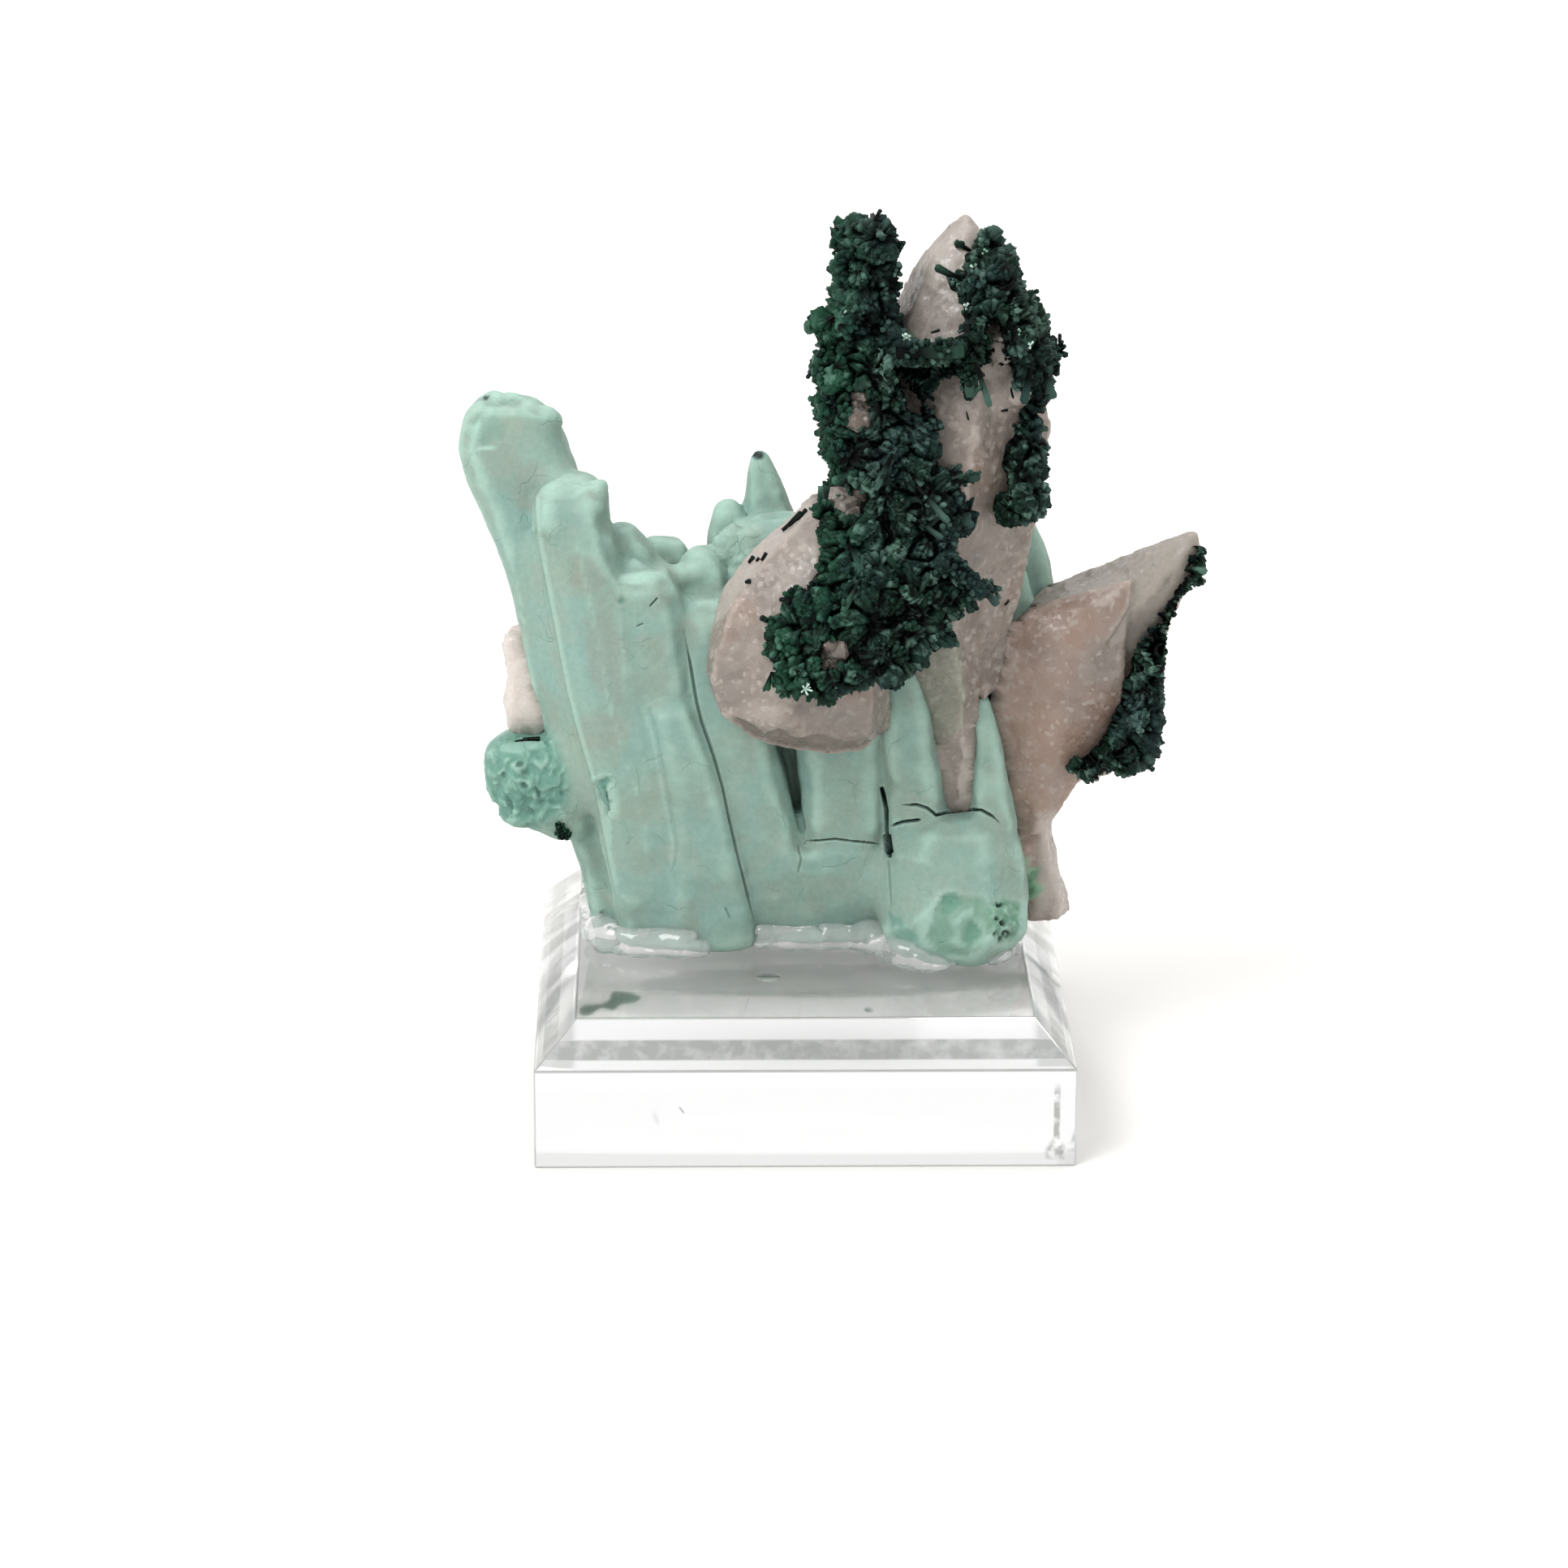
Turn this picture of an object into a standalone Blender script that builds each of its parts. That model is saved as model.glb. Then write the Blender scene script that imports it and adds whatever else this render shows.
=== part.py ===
"""A chrysocolla specimen on a clear acrylic block.

Pale blue-green chrysocolla fingers stand side by side in one fused palisade. Grey-pink quartz grew
over them: a tall spindle with a bulky crystal at its lower left, a wedge that leans out to the right
on its own foot, and a small crystal on the left finger. Dark green malachite crusts cover the left of
the spindle and patches of the rest. Clear adhesive holds the foot on a bevelled acrylic block.

Every shape is grown upwards from ring to ring. A ring is written as
(height, left, right, front, back) in millimetres: Z, lowest X, highest X, lowest Y, highest Y.
The origin is the middle of the block's underside, +Z is up and -Y is the front.
"""

import math
import random

import bmesh
import bpy
from mathutils import Matrix, Vector, noise

MM = 0.001

# Driving dimensions, in millimetres.
BLOCK_SIDE = 38.0
BLOCK_HEIGHT = 10.1
BLOCK_BEVEL = 2.9
GAP = 0.35  # clearance between neighbouring pieces
REST = 0.3  # clearance between the block and the adhesive on it
ADHESIVE_FILM = 0.2  # adhesive left under the specimen's foot
FOOT = BLOCK_HEIGHT + REST + ADHESIVE_FILM + GAP  # height at which the specimen's foot is cut flat

FINGER_SIDES = 8
BACK_FINGER_SIDES = 6
FINGER_BOXINESS = 0.45  # 1 gives an ellipse, lower values give flatter faces
BOULDER_BOXINESS = 0.85
CRUST_SIDES = 9
CRUST_BOXINESS = 0.6
FINGER_ROUGHNESS = 0.35
CRYSTAL_ROUGHNESS = 0.16
CRUST_ROUGHNESS = 0.8
NOISE_PITCH = 3.4  # distance over which the natural unevenness changes
NOISE_SEED = 7

# The chrysocolla fingers that the front shows.
FRONT_FINGERS = {
    "far_left": [
        (FOOT, -14.9, -10.5, 0.5, 6.5),
        (15.0, -16.2, -11.5, 0.3, 6.7),
        (19.0, -17.0, -12.5, 0.0, 6.8),
        (25.0, -18.2, -13.5, -0.3, 6.9),
        (30.0, -19.4, -14.4, -0.5, 6.8),
        (35.0, -20.5, -15.2, -0.7, 6.5),
        (39.2, -21.5, -15.6, -0.8, 6.5),
        (42.0, -22.7, -15.9, -0.9, 6.7),
        (44.3, -23.9, -16.1, -0.9, 6.9),
        (46.7, -24.3, -16.7, -0.7, 6.7),
        (48.5, -24.0, -17.5, -0.1, 6.1),
        (49.7, -22.9, -18.7, 1.1, 4.9),
    ],
    "front_left": [
        (FOOT, -13.3, -8.0, -2.8, 3.0),
        (16.5, -14.0, -8.6, -3.1, 3.1),
        (22.6, -15.3, -9.6, -3.5, 2.9),
        (28.8, -16.8, -10.7, -3.9, 2.7),
        (34.3, -17.7, -12.0, -4.1, 2.5),
        (38.5, -18.5, -12.8, -4.2, 2.3),
        (41.5, -19.0, -13.9, -4.1, 2.2),
        (43.7, -19.1, -14.2, -3.7, 2.0),
        (44.9, -18.3, -14.8, -2.7, 1.3),
        (45.5, -17.0, -15.6, -1.4, 0.3),
    ],
    "centre_left": [
        (FOOT, -11.6, -3.1, -2.8, 3.5),
        (16.5, -12.2, -4.2, -3.1, 3.7),
        (22.7, -13.2, -5.7, -3.5, 3.5),
        (28.9, -14.6, -7.3, -3.8, 3.1),
        (34.9, -15.6, -8.3, -4.0, 2.9),
        (37.3, -15.8, -9.0, -3.8, 2.8),
        (38.4, -15.4, -9.8, -3.0, 2.5),
    ],
    "centre_left_slab": [
        (FOOT, -9.8, -3.3, -3.3, -0.5),
        (16.4, -9.4, -4.2, -3.7, -0.5),
        (21.4, -9.5, -5.3, -4.0, -0.5),
        (25.0, -10.2, -6.4, -4.2, -0.5),
        (28.5, -10.9, -7.6, -4.4, -0.5),
        (29.8, -10.4, -7.9, -3.6, -0.5),
    ],
    "beside_the_seam": [
        (FOOT, -3.9, 2.4, -1.7, 4.5),
        (13.6, -4.5, 1.6, -2.4, 4.5),
        (17.7, -5.3, 0.4, -2.8, 4.5),
        (19.9, -5.8, -0.4, -3.0, 4.5),
        (23.0, -6.9, -1.2, -3.2, 4.3),
        (26.1, -7.7, -2.0, -3.4, 4.1),
        (28.5, -8.2, -2.8, -3.5, 3.9),
        (32.2, -8.8, -3.6, -3.4, 3.7),
        (35.3, -9.0, -4.6, -2.9, 3.5),
        (36.4, -8.6, -5.4, -1.9, 2.9),
    ],
    "square_block": [
        (16.5, 0.5, 6.2, -2.5, 5.5),
        (19.5, 0.2, 6.2, -3.0, 5.5),
        (22.5, -0.1, 6.1, -3.1, 5.5),
        (25.9, -0.5, 6.2, -3.1, 5.5),
        (28.9, -0.5, 6.4, -2.4, 5.5),
    ],
    "narrow_front": [
        (FOOT, 5.0, 11.0, -2.0, 5.5),
        (16.3, 5.6, 11.1, -3.0, 5.5),
        (20.0, 5.8, 10.6, -3.5, 5.3),
        (23.1, 5.8, 10.0, -3.6, 5.0),
        (26.2, 5.6, 9.7, -3.7, 4.7),
        (28.8, 5.6, 9.1, -3.7, 4.5),
        (31.5, 5.6, 8.4, -3.3, 4.1),
    ],
    "pointed_front": [
        (FOOT, 11.0, 15.1, -3.0, 5.0),
        (16.3, 11.8, 15.7, -3.5, 5.0),
        (20.0, 12.3, 15.3, -3.8, 4.5),
        (22.5, 12.2, 15.0, -3.8, 4.1),
        (25.0, 12.1, 14.5, -3.7, 3.7),
        (27.4, 12.1, 13.7, -3.2, 3.3),
        (29.1, 12.4, 13.2, -2.2, 2.3),
    ],
    "lower_right_boulder": [
        (FOOT, 7.2, 14.8, -6.4, 1.5),
        (12.1, 6.0, 16.2, -7.3, 1.7),
        (14.0, 5.6, 16.3, -6.8, 2.0),
        (16.0, 5.6, 16.0, -6.1, 2.0),
        (18.0, 6.0, 15.7, -5.5, 2.0),
        (19.6, 6.8, 14.9, -4.9, 2.0),
        (20.6, 8.4, 13.7, -3.9, 1.5),
    ],
    "lower_front": [
        (FOOT, -4.0, 11.0, -1.5, 7.5),
        (13.5, -3.8, 11.2, -2.3, 7.7),
        (16.3, -3.0, 11.2, -2.8, 7.7),
        (17.7, -1.8, 10.8, -2.9, 7.5),
    ],
    "heart": [
        (FOOT, -13.0, 14.6, 0.1, 8.3),
        (20.5, -14.2, 14.2, 0.9, 8.3),
        (27.5, -15.4, 12.4, 1.1, 7.7),
        (31.5, -15.2, 7.0, 1.3, 7.3),
        (34.5, -14.4, 0.6, 1.7, 6.7),
    ],
    "left_knob": [
        (17.8, -18.2, -15.5, -0.3, 3.0),
        (19.1, -20.5, -14.5, -1.3, 4.0),
        (20.7, -22.2, -14.0, -1.9, 4.5),
        (22.7, -22.9, -14.0, -2.1, 4.7),
        (24.2, -22.6, -14.0, -1.8, 4.7),
        (25.2, -21.6, -14.5, -0.9, 4.3),
    ],
}

BOULDERS = ("lower_right_boulder", "left_knob")

# The fingers behind them: the front shows the tips of the first eight.
BACK_FINGERS = {
    "centre_left_back": [
        (30.5, -13.4, -8.6, -1.0, 4.9),
        (36.5, -13.8, -9.2, -1.0, 4.7),
        (39.5, -13.9, -10.8, -0.6, 4.3),
        (40.9, -13.6, -12.2, 0.1, 3.3),
    ],
    "seam_bump": [
        (28.5, -8.8, -4.8, -0.5, 4.7),
        (35.9, -8.8, -5.2, -0.5, 4.7),
        (37.9, -8.6, -5.6, -0.2, 4.2),
        (39.1, -7.8, -6.5, 0.9, 3.1),
    ],
    "flat_topped": [
        (FOOT, -13.2, -7.0, 4.1, 10.0),
        (20.5, -13.0, -7.2, 4.3, 10.2),
        (30.5, -12.4, -7.7, 4.3, 9.4),
        (37.3, -11.6, -8.1, 4.7, 8.7),
        (38.5, -11.0, -8.5, 5.3, 8.0),
    ],
    "round_tip": [
        (FOOT, -7.8, -2.4, 4.1, 11.1),
        (20.5, -7.6, -2.6, 4.3, 11.1),
        (30.5, -7.2, -3.0, 4.1, 10.1),
        (36.5, -6.8, -3.4, 4.1, 9.2),
        (39.1, -6.6, -3.8, 4.4, 8.7),
        (40.6, -6.1, -4.3, 5.1, 7.9),
        (41.3, -5.6, -4.8, 5.9, 7.1),
    ],
    "pointed_tip": [
        (FOOT, -3.4, 2.6, 5.3, 11.7),
        (20.5, -3.6, 2.2, 5.5, 11.8),
        (30.5, -4.0, 1.4, 5.5, 11.2),
        (36.5, -3.9, 0.4, 5.5, 10.5),
        (40.1, -3.8, -0.3, 5.7, 9.7),
        (42.2, -3.9, -1.2, 6.1, 9.1),
        (43.8, -3.8, -2.0, 6.5, 8.6),
        (44.7, -3.4, -2.5, 7.1, 8.0),
    ],
    "middle_bumps": [
        (26.5, -6.0, 1.0, 0.5, 6.7),
        (34.5, -5.9, 1.2, 0.5, 6.7),
        (38.1, -5.4, 1.2, 1.1, 6.5),
        (40.0, -4.6, 0.8, 1.9, 6.1),
        (40.9, -3.2, 0.0, 3.1, 5.3),
    ],
    "right_tip": [
        (FOOT, 9.6, 15.1, 4.1, 10.5),
        (18.5, 11.0, 17.0, 4.1, 10.5),
        (26.5, 12.6, 18.2, 3.7, 9.5),
        (32.5, 14.2, 18.7, 3.5, 8.7),
        (35.3, 14.9, 18.5, 3.6, 8.0),
        (37.1, 15.4, 18.1, 3.9, 7.5),
        (39.1, 16.1, 17.4, 4.5, 6.7),
        (40.3, 16.5, 16.9, 5.1, 5.9),
    ],
    "right_small_tip": [
        (26.5, 13.5, 17.0, 0.9, 5.1),
        (31.5, 14.4, 17.3, 0.9, 4.9),
        (34.1, 14.8, 17.1, 1.1, 4.5),
        (35.8, 15.2, 16.6, 1.6, 3.7),
        (37.5, 15.7, 16.2, 2.3, 3.0),
    ],
    "back_left": [
        (FOOT, -15.0, -10.6, 4.5, 9.1),
        (18.5, -16.4, -11.0, 4.7, 9.9),
        (26.5, -16.8, -11.6, 4.9, 10.1),
        (32.5, -17.0, -12.6, 5.1, 9.5),
        (35.1, -16.4, -13.6, 5.9, 8.7),
    ],
    "back_middle": [
        (FOOT, 1.4, 7.2, 5.1, 11.9),
        (20.5, 1.6, 7.2, 5.3, 12.3),
        (28.5, 1.8, 7.0, 5.3, 11.9),
        (34.5, 2.2, 6.4, 5.7, 11.1),
        (37.7, 3.0, 5.6, 6.5, 9.9),
    ],
    "back_right": [
        (FOOT, 6.0, 11.8, 4.5, 11.3),
        (18.5, 6.2, 12.0, 4.9, 11.7),
        (25.5, 6.6, 12.0, 5.1, 11.5),
        (29.9, 7.4, 11.4, 5.7, 10.7),
        (31.5, 8.2, 10.6, 6.7, 9.7),
    ],
}

# Knuckles that round the finger tips: (x, y, z, radius).
KNUCKLES = [
    (-21.8, 3.1, 49.0, 1.6),
    (-19.7, 2.7, 48.9, 1.5),
    (-18.3, 2.1, 48.0, 1.6),
    (-14.9, -0.7, 43.8, 1.3),
    (-12.0, -1.3, 37.5, 1.6),
    (-8.6, 0.4, 37.4, 1.1),
    (-6.9, 1.8, 38.0, 1.3),
    (-4.9, 2.9, 39.2, 1.5),
    (-1.6, 3.3, 39.5, 1.6),
    (-21.2, 0.1, 23.9, 1.7),
    (-20.6, -0.7, 20.4, 1.4),
    (-8.6, 8.7, 34.1, 1.6),
    (-0.6, 10.5, 31.1, 1.8),
    (9.2, 10.7, 22.1, 1.9),
    (14.6, 9.5, 24.5, 1.8),
    (-13.6, 9.1, 23.3, 1.9),
]

# Pits and open cracks cut into the chrysocolla: (x, y, z, half width, half depth, half height).
PITS = [
    (-14.5, -3.5, 22.7, 0.6, 0.8, 0.7),
    (-14.2, -3.4, 21.3, 0.5, 0.9, 1.1),
    (6.2, -3.5, 19.9, 0.22, 1.5, 2.6),
    (6.2, -3.7, 17.8, 0.45, 1.4, 0.9),
    (15.3, -5.3, 14.1, 0.8, 0.9, 0.6),
    (15.0, -5.7, 12.4, 0.9, 0.8, 0.5),
    (-21.6, -1.3, 22.4, 0.5, 0.7, 0.9),
    (-19.8, -1.8, 23.4, 0.6, 0.6, 0.6),
]

# Quartz: the tall spindle and the bulky crystal grown together at its lower left.
SPINDLE = [
    (18.5, 10.4, 12.6, -2.1, 3.5),
    (25.7, 9.0, 13.4, -3.3, 4.5),
    (30.0, 6.6, 14.3, -4.1, 5.3),
    (34.3, 4.3, 15.2, -4.7, 6.1),
    (38.0, 3.1, 16.1, -5.3, 6.9),
    (41.6, 2.2, 16.8, -5.7, 7.5),
    (46.4, 2.7, 17.4, -5.9, 7.9),
    (48.8, 3.1, 17.9, -5.7, 7.9),
    (51.7, 4.2, 17.4, -5.3, 7.5),
    (55.0, 5.6, 16.2, -4.5, 6.9),
    (57.9, 6.9, 15.0, -3.3, 5.9),
    (60.9, 8.4, 13.5, -1.7, 4.3),
    (62.7, 10.2, 12.4, -0.2, 2.7),
    (63.5, 11.2, 11.7, 0.9, 1.6),
]
BULKY_CRYSTAL = [
    (26.4, -1.3, 5.0, -6.9, 0.0),
    (27.5, -4.2, 6.0, -8.3, 0.5),
    (29.4, -6.5, 6.4, -9.3, 1.0),
    (31.9, -7.5, 6.6, -9.8, 1.5),
    (34.3, -7.2, 6.8, -9.8, 2.0),
    (37.2, -6.0, 6.8, -9.3, 1.1),
    (39.7, -4.3, 6.6, -8.5, 0.5),
    (41.7, -2.3, 6.2, -7.5, 0.1),
    (43.1, -0.6, 5.4, -6.3, -0.3),
    (44.1, 0.4, 4.2, -4.9, -0.7),
]
SPINDLE_BACK = [
    (30.5, 6.0, 11.0, 2.5, 8.9),
    (35.5, 5.0, 12.4, 2.5, 9.9),
    (41.5, 5.0, 13.0, 2.5, 10.3),
    (46.5, 5.6, 12.4, 2.5, 9.9),
    (50.5, 7.0, 11.0, 2.9, 8.5),
    (53.1, 8.4, 9.8, 4.5, 6.7),
]

# Quartz: the wedge that leans out to the right, the clear crystal behind it and their foot.
WEDGE_FRONT = [
    (18.3, 15.4, 18.0, -0.9, 3.5),
    (20.0, 15.0, 19.0, -1.7, 4.5),
    (22.5, 14.4, 20.6, -2.4, 5.5),
    (26.2, 13.4, 22.6, -2.9, 6.0),
    (28.6, 12.9, 23.6, -3.0, 6.0),
    (32.3, 13.4, 23.7, -2.8, 6.0),
    (34.7, 15.6, 23.6, -2.3, 5.5),
    (36.3, 19.0, 23.7, -1.7, 4.9),
    (37.4, 22.5, 23.8, -0.7, 3.5),
]
WEDGE_BACK = [
    (22.0, 16.0, 22.6, 0.0, 6.0),
    (24.0, 15.0, 24.6, -0.3, 6.5),
    (27.7, 14.4, 25.9, -0.6, 6.9),
    (31.4, 15.0, 26.2, -0.7, 6.7),
    (33.8, 16.4, 26.8, -0.5, 6.3),
    (36.0, 18.6, 27.8, -0.1, 5.7),
    (37.5, 22.0, 28.4, 0.5, 5.1),
    (38.8, 24.8, 28.8, 1.3, 4.3),
    (40.1, 27.8, 28.6, 2.2, 3.1),
]
WEDGE_FOOT = [
    (FOOT, 16.3, 19.5, 0.9, 5.5),
    (12.5, 16.2, 19.6, 0.5, 5.7),
    (14.4, 15.9, 18.9, 0.3, 5.7),
    (16.3, 15.6, 18.5, -0.1, 5.7),
    (18.2, 15.2, 18.2, -0.5, 5.7),
    (20.5, 14.8, 18.6, -0.7, 5.5),
]
LEFT_CRYSTAL = [
    (23.9, -21.2, -17.0, 2.1, 6.7),
    (26.7, -21.8, -16.8, 1.7, 7.3),
    (28.5, -21.4, -17.0, 1.7, 7.3),
    (31.0, -21.7, -17.5, 2.1, 6.7),
    (32.0, -21.4, -18.5, 2.7, 5.7),
    (32.9, -20.8, -20.0, 3.5, 4.7),
]

# Malachite: the crust over the left of the spindle, from the bulky crystal to a free column on top.
CRUST_COLUMN = [
    (31.4, 0.0, 2.8, -10.9, -7.3),
    (32.3, -1.6, 5.0, -11.5, -7.3),
    (33.5, -2.4, 8.2, -11.7, -6.9),
    (35.3, -3.2, 8.4, -11.5, -6.1),
    (37.5, -2.0, 9.4, -10.9, -5.3),
    (39.4, -1.6, 10.0, -10.3, -4.5),
    (41.5, 0.4, 11.2, -9.5, -1.5),
    (43.9, 1.0, 12.0, -8.9, 1.9),
    (45.9, 1.6, 11.6, -8.5, 4.1),
    (47.9, 1.4, 9.8, -8.1, 5.1),
    (49.6, 1.2, 9.6, -7.7, 5.3),
    (51.4, 1.0, 9.4, -7.3, 4.9),
    (53.7, 0.8, 8.2, -6.5, 3.9),
    (55.5, 1.4, 6.6, -5.5, 2.5),
    (57.5, 1.9, 6.3, -5.0, 1.7),
    (59.6, 2.2, 6.4, -4.8, 1.3),
    (61.5, 2.2, 6.6, -4.6, 0.9),
    (62.7, 2.6, 6.1, -4.1, 0.3),
    (63.4, 3.2, 5.2, -3.3, -0.5),
]
CRUST_CREST = [
    (50.7, 15.6, 17.4, -3.9, 1.5),
    (52.1, 14.8, 17.8, -4.9, 2.3),
    (53.9, 13.0, 18.0, -6.1, 3.1),
    (56.2, 11.4, 17.0, -6.5, 3.3),
    (58.6, 10.8, 15.7, -6.1, 3.1),
    (60.3, 10.8, 15.0, -5.5, 2.7),
    (61.7, 11.8, 14.0, -3.9, 1.9),
    (62.5, 12.6, 13.3, -2.4, 0.7),
]
CRUST_FLANK = [
    (42.1, 13.4, 15.4, -5.3, -0.5),
    (42.7, 12.9, 16.6, -6.5, 1.3),
    (44.1, 13.2, 17.0, -6.7, 2.3),
    (45.7, 13.8, 17.2, -6.3, 2.7),
    (47.7, 14.0, 17.4, -5.7, 2.5),
    (49.3, 14.6, 16.8, -4.5, 0.3),
]
CRUST_WEDGE = [
    (22.5, 20.2, 23.8, -3.7, 1.1),
    (23.3, 19.4, 24.8, -4.4, 2.1),
    (24.3, 19.8, 25.7, -4.5, 2.7),
    (25.8, 21.8, 26.0, -4.4, 3.1),
    (27.7, 22.8, 26.1, -4.3, 3.1),
    (30.2, 23.4, 26.2, -3.9, 3.1),
    (32.4, 24.0, 26.1, -3.1, 2.7),
    (33.9, 25.0, 26.4, -1.9, 2.1),
]

# Malachite rods: (start, end, radius).
CRUST_RODS = [
    ((5.8, -6.1, 54.7), (12.0, -6.5, 54.3), 0.95),
    ((11.8, -6.5, 56.9), (11.9, -6.7, 51.3), 1.1),
    ((12.6, -4.3, 58.9), (9.7, -4.9, 60.1), 0.5),
    ((2.6, -2.5, 56.6), (0.4, -2.5, 56.9), 0.8),
    ((9.2, -8.5, 40.5), (13.2, -7.5, 38.1), 1.0),
    ((9.6, -8.5, 38.9), (11.2, -7.7, 36.5), 0.8),
    ((7.6, -8.9, 36.9), (9.6, -8.1, 35.1), 0.9),
    ((1.6, -6.7, 41.5), (1.2, -6.3, 44.5), 1.1),
]
WEDGE_RODS = [
    ((28.4, 1.4, 39.5), (28.4, 1.1, 37.3), 0.75),
    ((28.4, 1.2, 37.7), (26.0, -0.3, 33.5), 0.75),
    ((20.4, -2.7, 24.1), (19.3, -2.5, 23.3), 1.0),
]

# Knobs that stud each crust: how many, and the radii between which they lie.
KNOB_RADII = (0.8, 1.5)
COLUMN_KNOBS = 52
CREST_KNOBS = 16
FLANK_KNOBS = 9
WEDGE_KNOBS = 14
KNOB_SINK = 0.62  # share of a knob's radius by which its middle lies inside the crust

# Clear adhesive: its edge on the block as (x, y), and its rise towards the foot.
ADHESIVE_EDGE = [
    (-16.0, 2.5), (-15.6, -1.2), (-14.4, -3.2), (-12.2, -4.3), (-8.2, -4.3), (-6.0, -3.3),
    (-2.6, -2.6), (3.6, -2.5), (5.4, -4.2), (7.0, -6.8), (9.4, -7.5), (12.6, -7.2),
    (15.0, -5.6), (16.0, -2.5), (16.0, 4.0), (15.8, 9.6), (12.4, 12.2), (7.0, 13.3),
    (-1.0, 13.3), (-8.0, 12.4), (-13.6, 10.8), (-15.9, 7.5),
]
ADHESIVE_MIDDLE = (0.3, 2.9)
ADHESIVE_RISE = 1.5
ADHESIVE_TOP_SHARE = 0.96  # size of the upper edge against the lower one

SOLVER = "MANIFOLD"  # EXACT leaves inverted slivers where these rough faces cross
PARTS = "chrysocolla_specimen"
CUTTERS = "cutters"

# Base colour, roughness, metallic and transmission of each piece, from the photograph.
FINISHES = {
    "chrysocolla": ((0.36, 0.55, 0.46), 0.62, 0.0, 0.0),
    "quartz": ((0.52, 0.42, 0.37), 0.42, 0.0, 0.35),
    "malachite": ((0.016, 0.055, 0.038), 0.5, 0.0, 0.0),
    "adhesive": ((0.9, 0.91, 0.9), 0.08, 0.0, 1.0),
    "acrylic": ((0.93, 0.94, 0.94), 0.04, 0.0, 1.0),
}


def clear_scene():
    """Removes every object that the opened file holds."""
    for item in list(bpy.data.objects):
        bpy.data.objects.remove(item, do_unlink=True)


def collection(name):
    """The named collection, linked to the scene."""
    group = bpy.data.collections.get(name) or bpy.data.collections.new(name)
    if name not in bpy.context.scene.collection.children:
        bpy.context.scene.collection.children.link(group)
    return group


def finish(name):
    """A Principled material with the colour, roughness, metallic and transmission of FINISHES."""
    colour, roughness, metallic, transmission = FINISHES[name]
    material = bpy.data.materials.new(name)
    material.use_nodes = True
    shader = material.node_tree.nodes["Principled BSDF"]
    shader.inputs["Base Color"].default_value = (*colour, 1.0)
    shader.inputs["Roughness"].default_value = roughness
    shader.inputs["Metallic"].default_value = metallic
    shader.inputs["Transmission Weight"].default_value = transmission
    return material


def uneven(point, amount):
    """The point moved by smooth natural unevenness of the given amount, in millimetres."""
    return point + noise.noise_vector(point / NOISE_PITCH) * amount


def boxed(value, boxiness):
    """A sine or cosine pushed outwards, which squares a round section."""
    return math.copysign(abs(value) ** boxiness, value)


def grown(rings, sides, boxiness=1.0, turn=0.0, roughness=0.0, swell=0.0):
    """A closed column through the rings, made from a cylinder that is cut into one level for each ring.

    swell moves the whole surface outwards, for a cutter that leaves clearance.
    """
    levels = len(rings) - 1
    column = bmesh.new()
    bmesh.ops.create_cone(
        column, cap_ends=True, segments=sides, radius1=1.0, radius2=1.0, depth=levels,
        matrix=Matrix.Translation((0.0, 0.0, levels / 2)),
    )
    for level in range(1, levels):
        everything = column.verts[:] + column.edges[:] + column.faces[:]
        bmesh.ops.bisect_plane(column, geom=everything, plane_co=(0, 0, level), plane_no=(0, 0, 1))
    angles = [2 * math.pi * i / sides + turn for i in range(sides)]
    reach_x = max(abs(boxed(math.cos(a), boxiness)) for a in angles)
    reach_y = max(abs(boxed(math.sin(a), boxiness)) for a in angles)
    for vert in column.verts:
        level = round(vert.co.z)
        height, left, right, front, back = rings[level]
        angle = math.atan2(vert.co.y, vert.co.x) + turn
        across = boxed(math.cos(angle), boxiness) / reach_x
        along = boxed(math.sin(angle), boxiness) / reach_y
        point = Vector((
            (left + right) / 2 + across * (right - left) / 2,
            (front + back) / 2 + along * (back - front) / 2,
            height,
        ))
        is_foot = height == FOOT
        moved = uneven(point, roughness)
        if is_foot:
            moved.z = point.z
        moved += Vector((across, along, 0.0)) * swell
        if level == 0:
            moved.z -= swell
        if level == levels:
            moved.z += swell
        vert.co = moved * MM
    bmesh.ops.recalc_face_normals(column, faces=column.faces[:])
    return column


def lump(centre, radii, roughness=0.0, swell=0.0, fine=1):
    """A rough ball with the given half sizes along X, Y and Z."""
    ball = bmesh.new()
    bmesh.ops.create_icosphere(ball, subdivisions=fine, radius=1.0)
    for vert in ball.verts:
        direction = vert.co.copy()
        point = Vector(centre) + Vector(d * r for d, r in zip(direction, radii))
        vert.co = (uneven(point, roughness) + direction * swell) * MM
    return ball


def rod(start, end, radius, sides=6, swell=0.0):
    """A short straight rod between two points."""
    start, end = Vector(start), Vector(end)
    axis = end - start
    stick = bmesh.new()
    place = Matrix.Translation((start + end) / 2) @ axis.to_track_quat("Z", "Y").to_matrix().to_4x4()
    bmesh.ops.create_cone(
        stick, cap_ends=True, segments=sides, radius1=radius + swell, radius2=radius * 0.85 + swell,
        depth=axis.length + 2 * swell, matrix=place,
    )
    bmesh.ops.scale(stick, vec=(MM, MM, MM), verts=stick.verts[:])
    return stick


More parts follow.
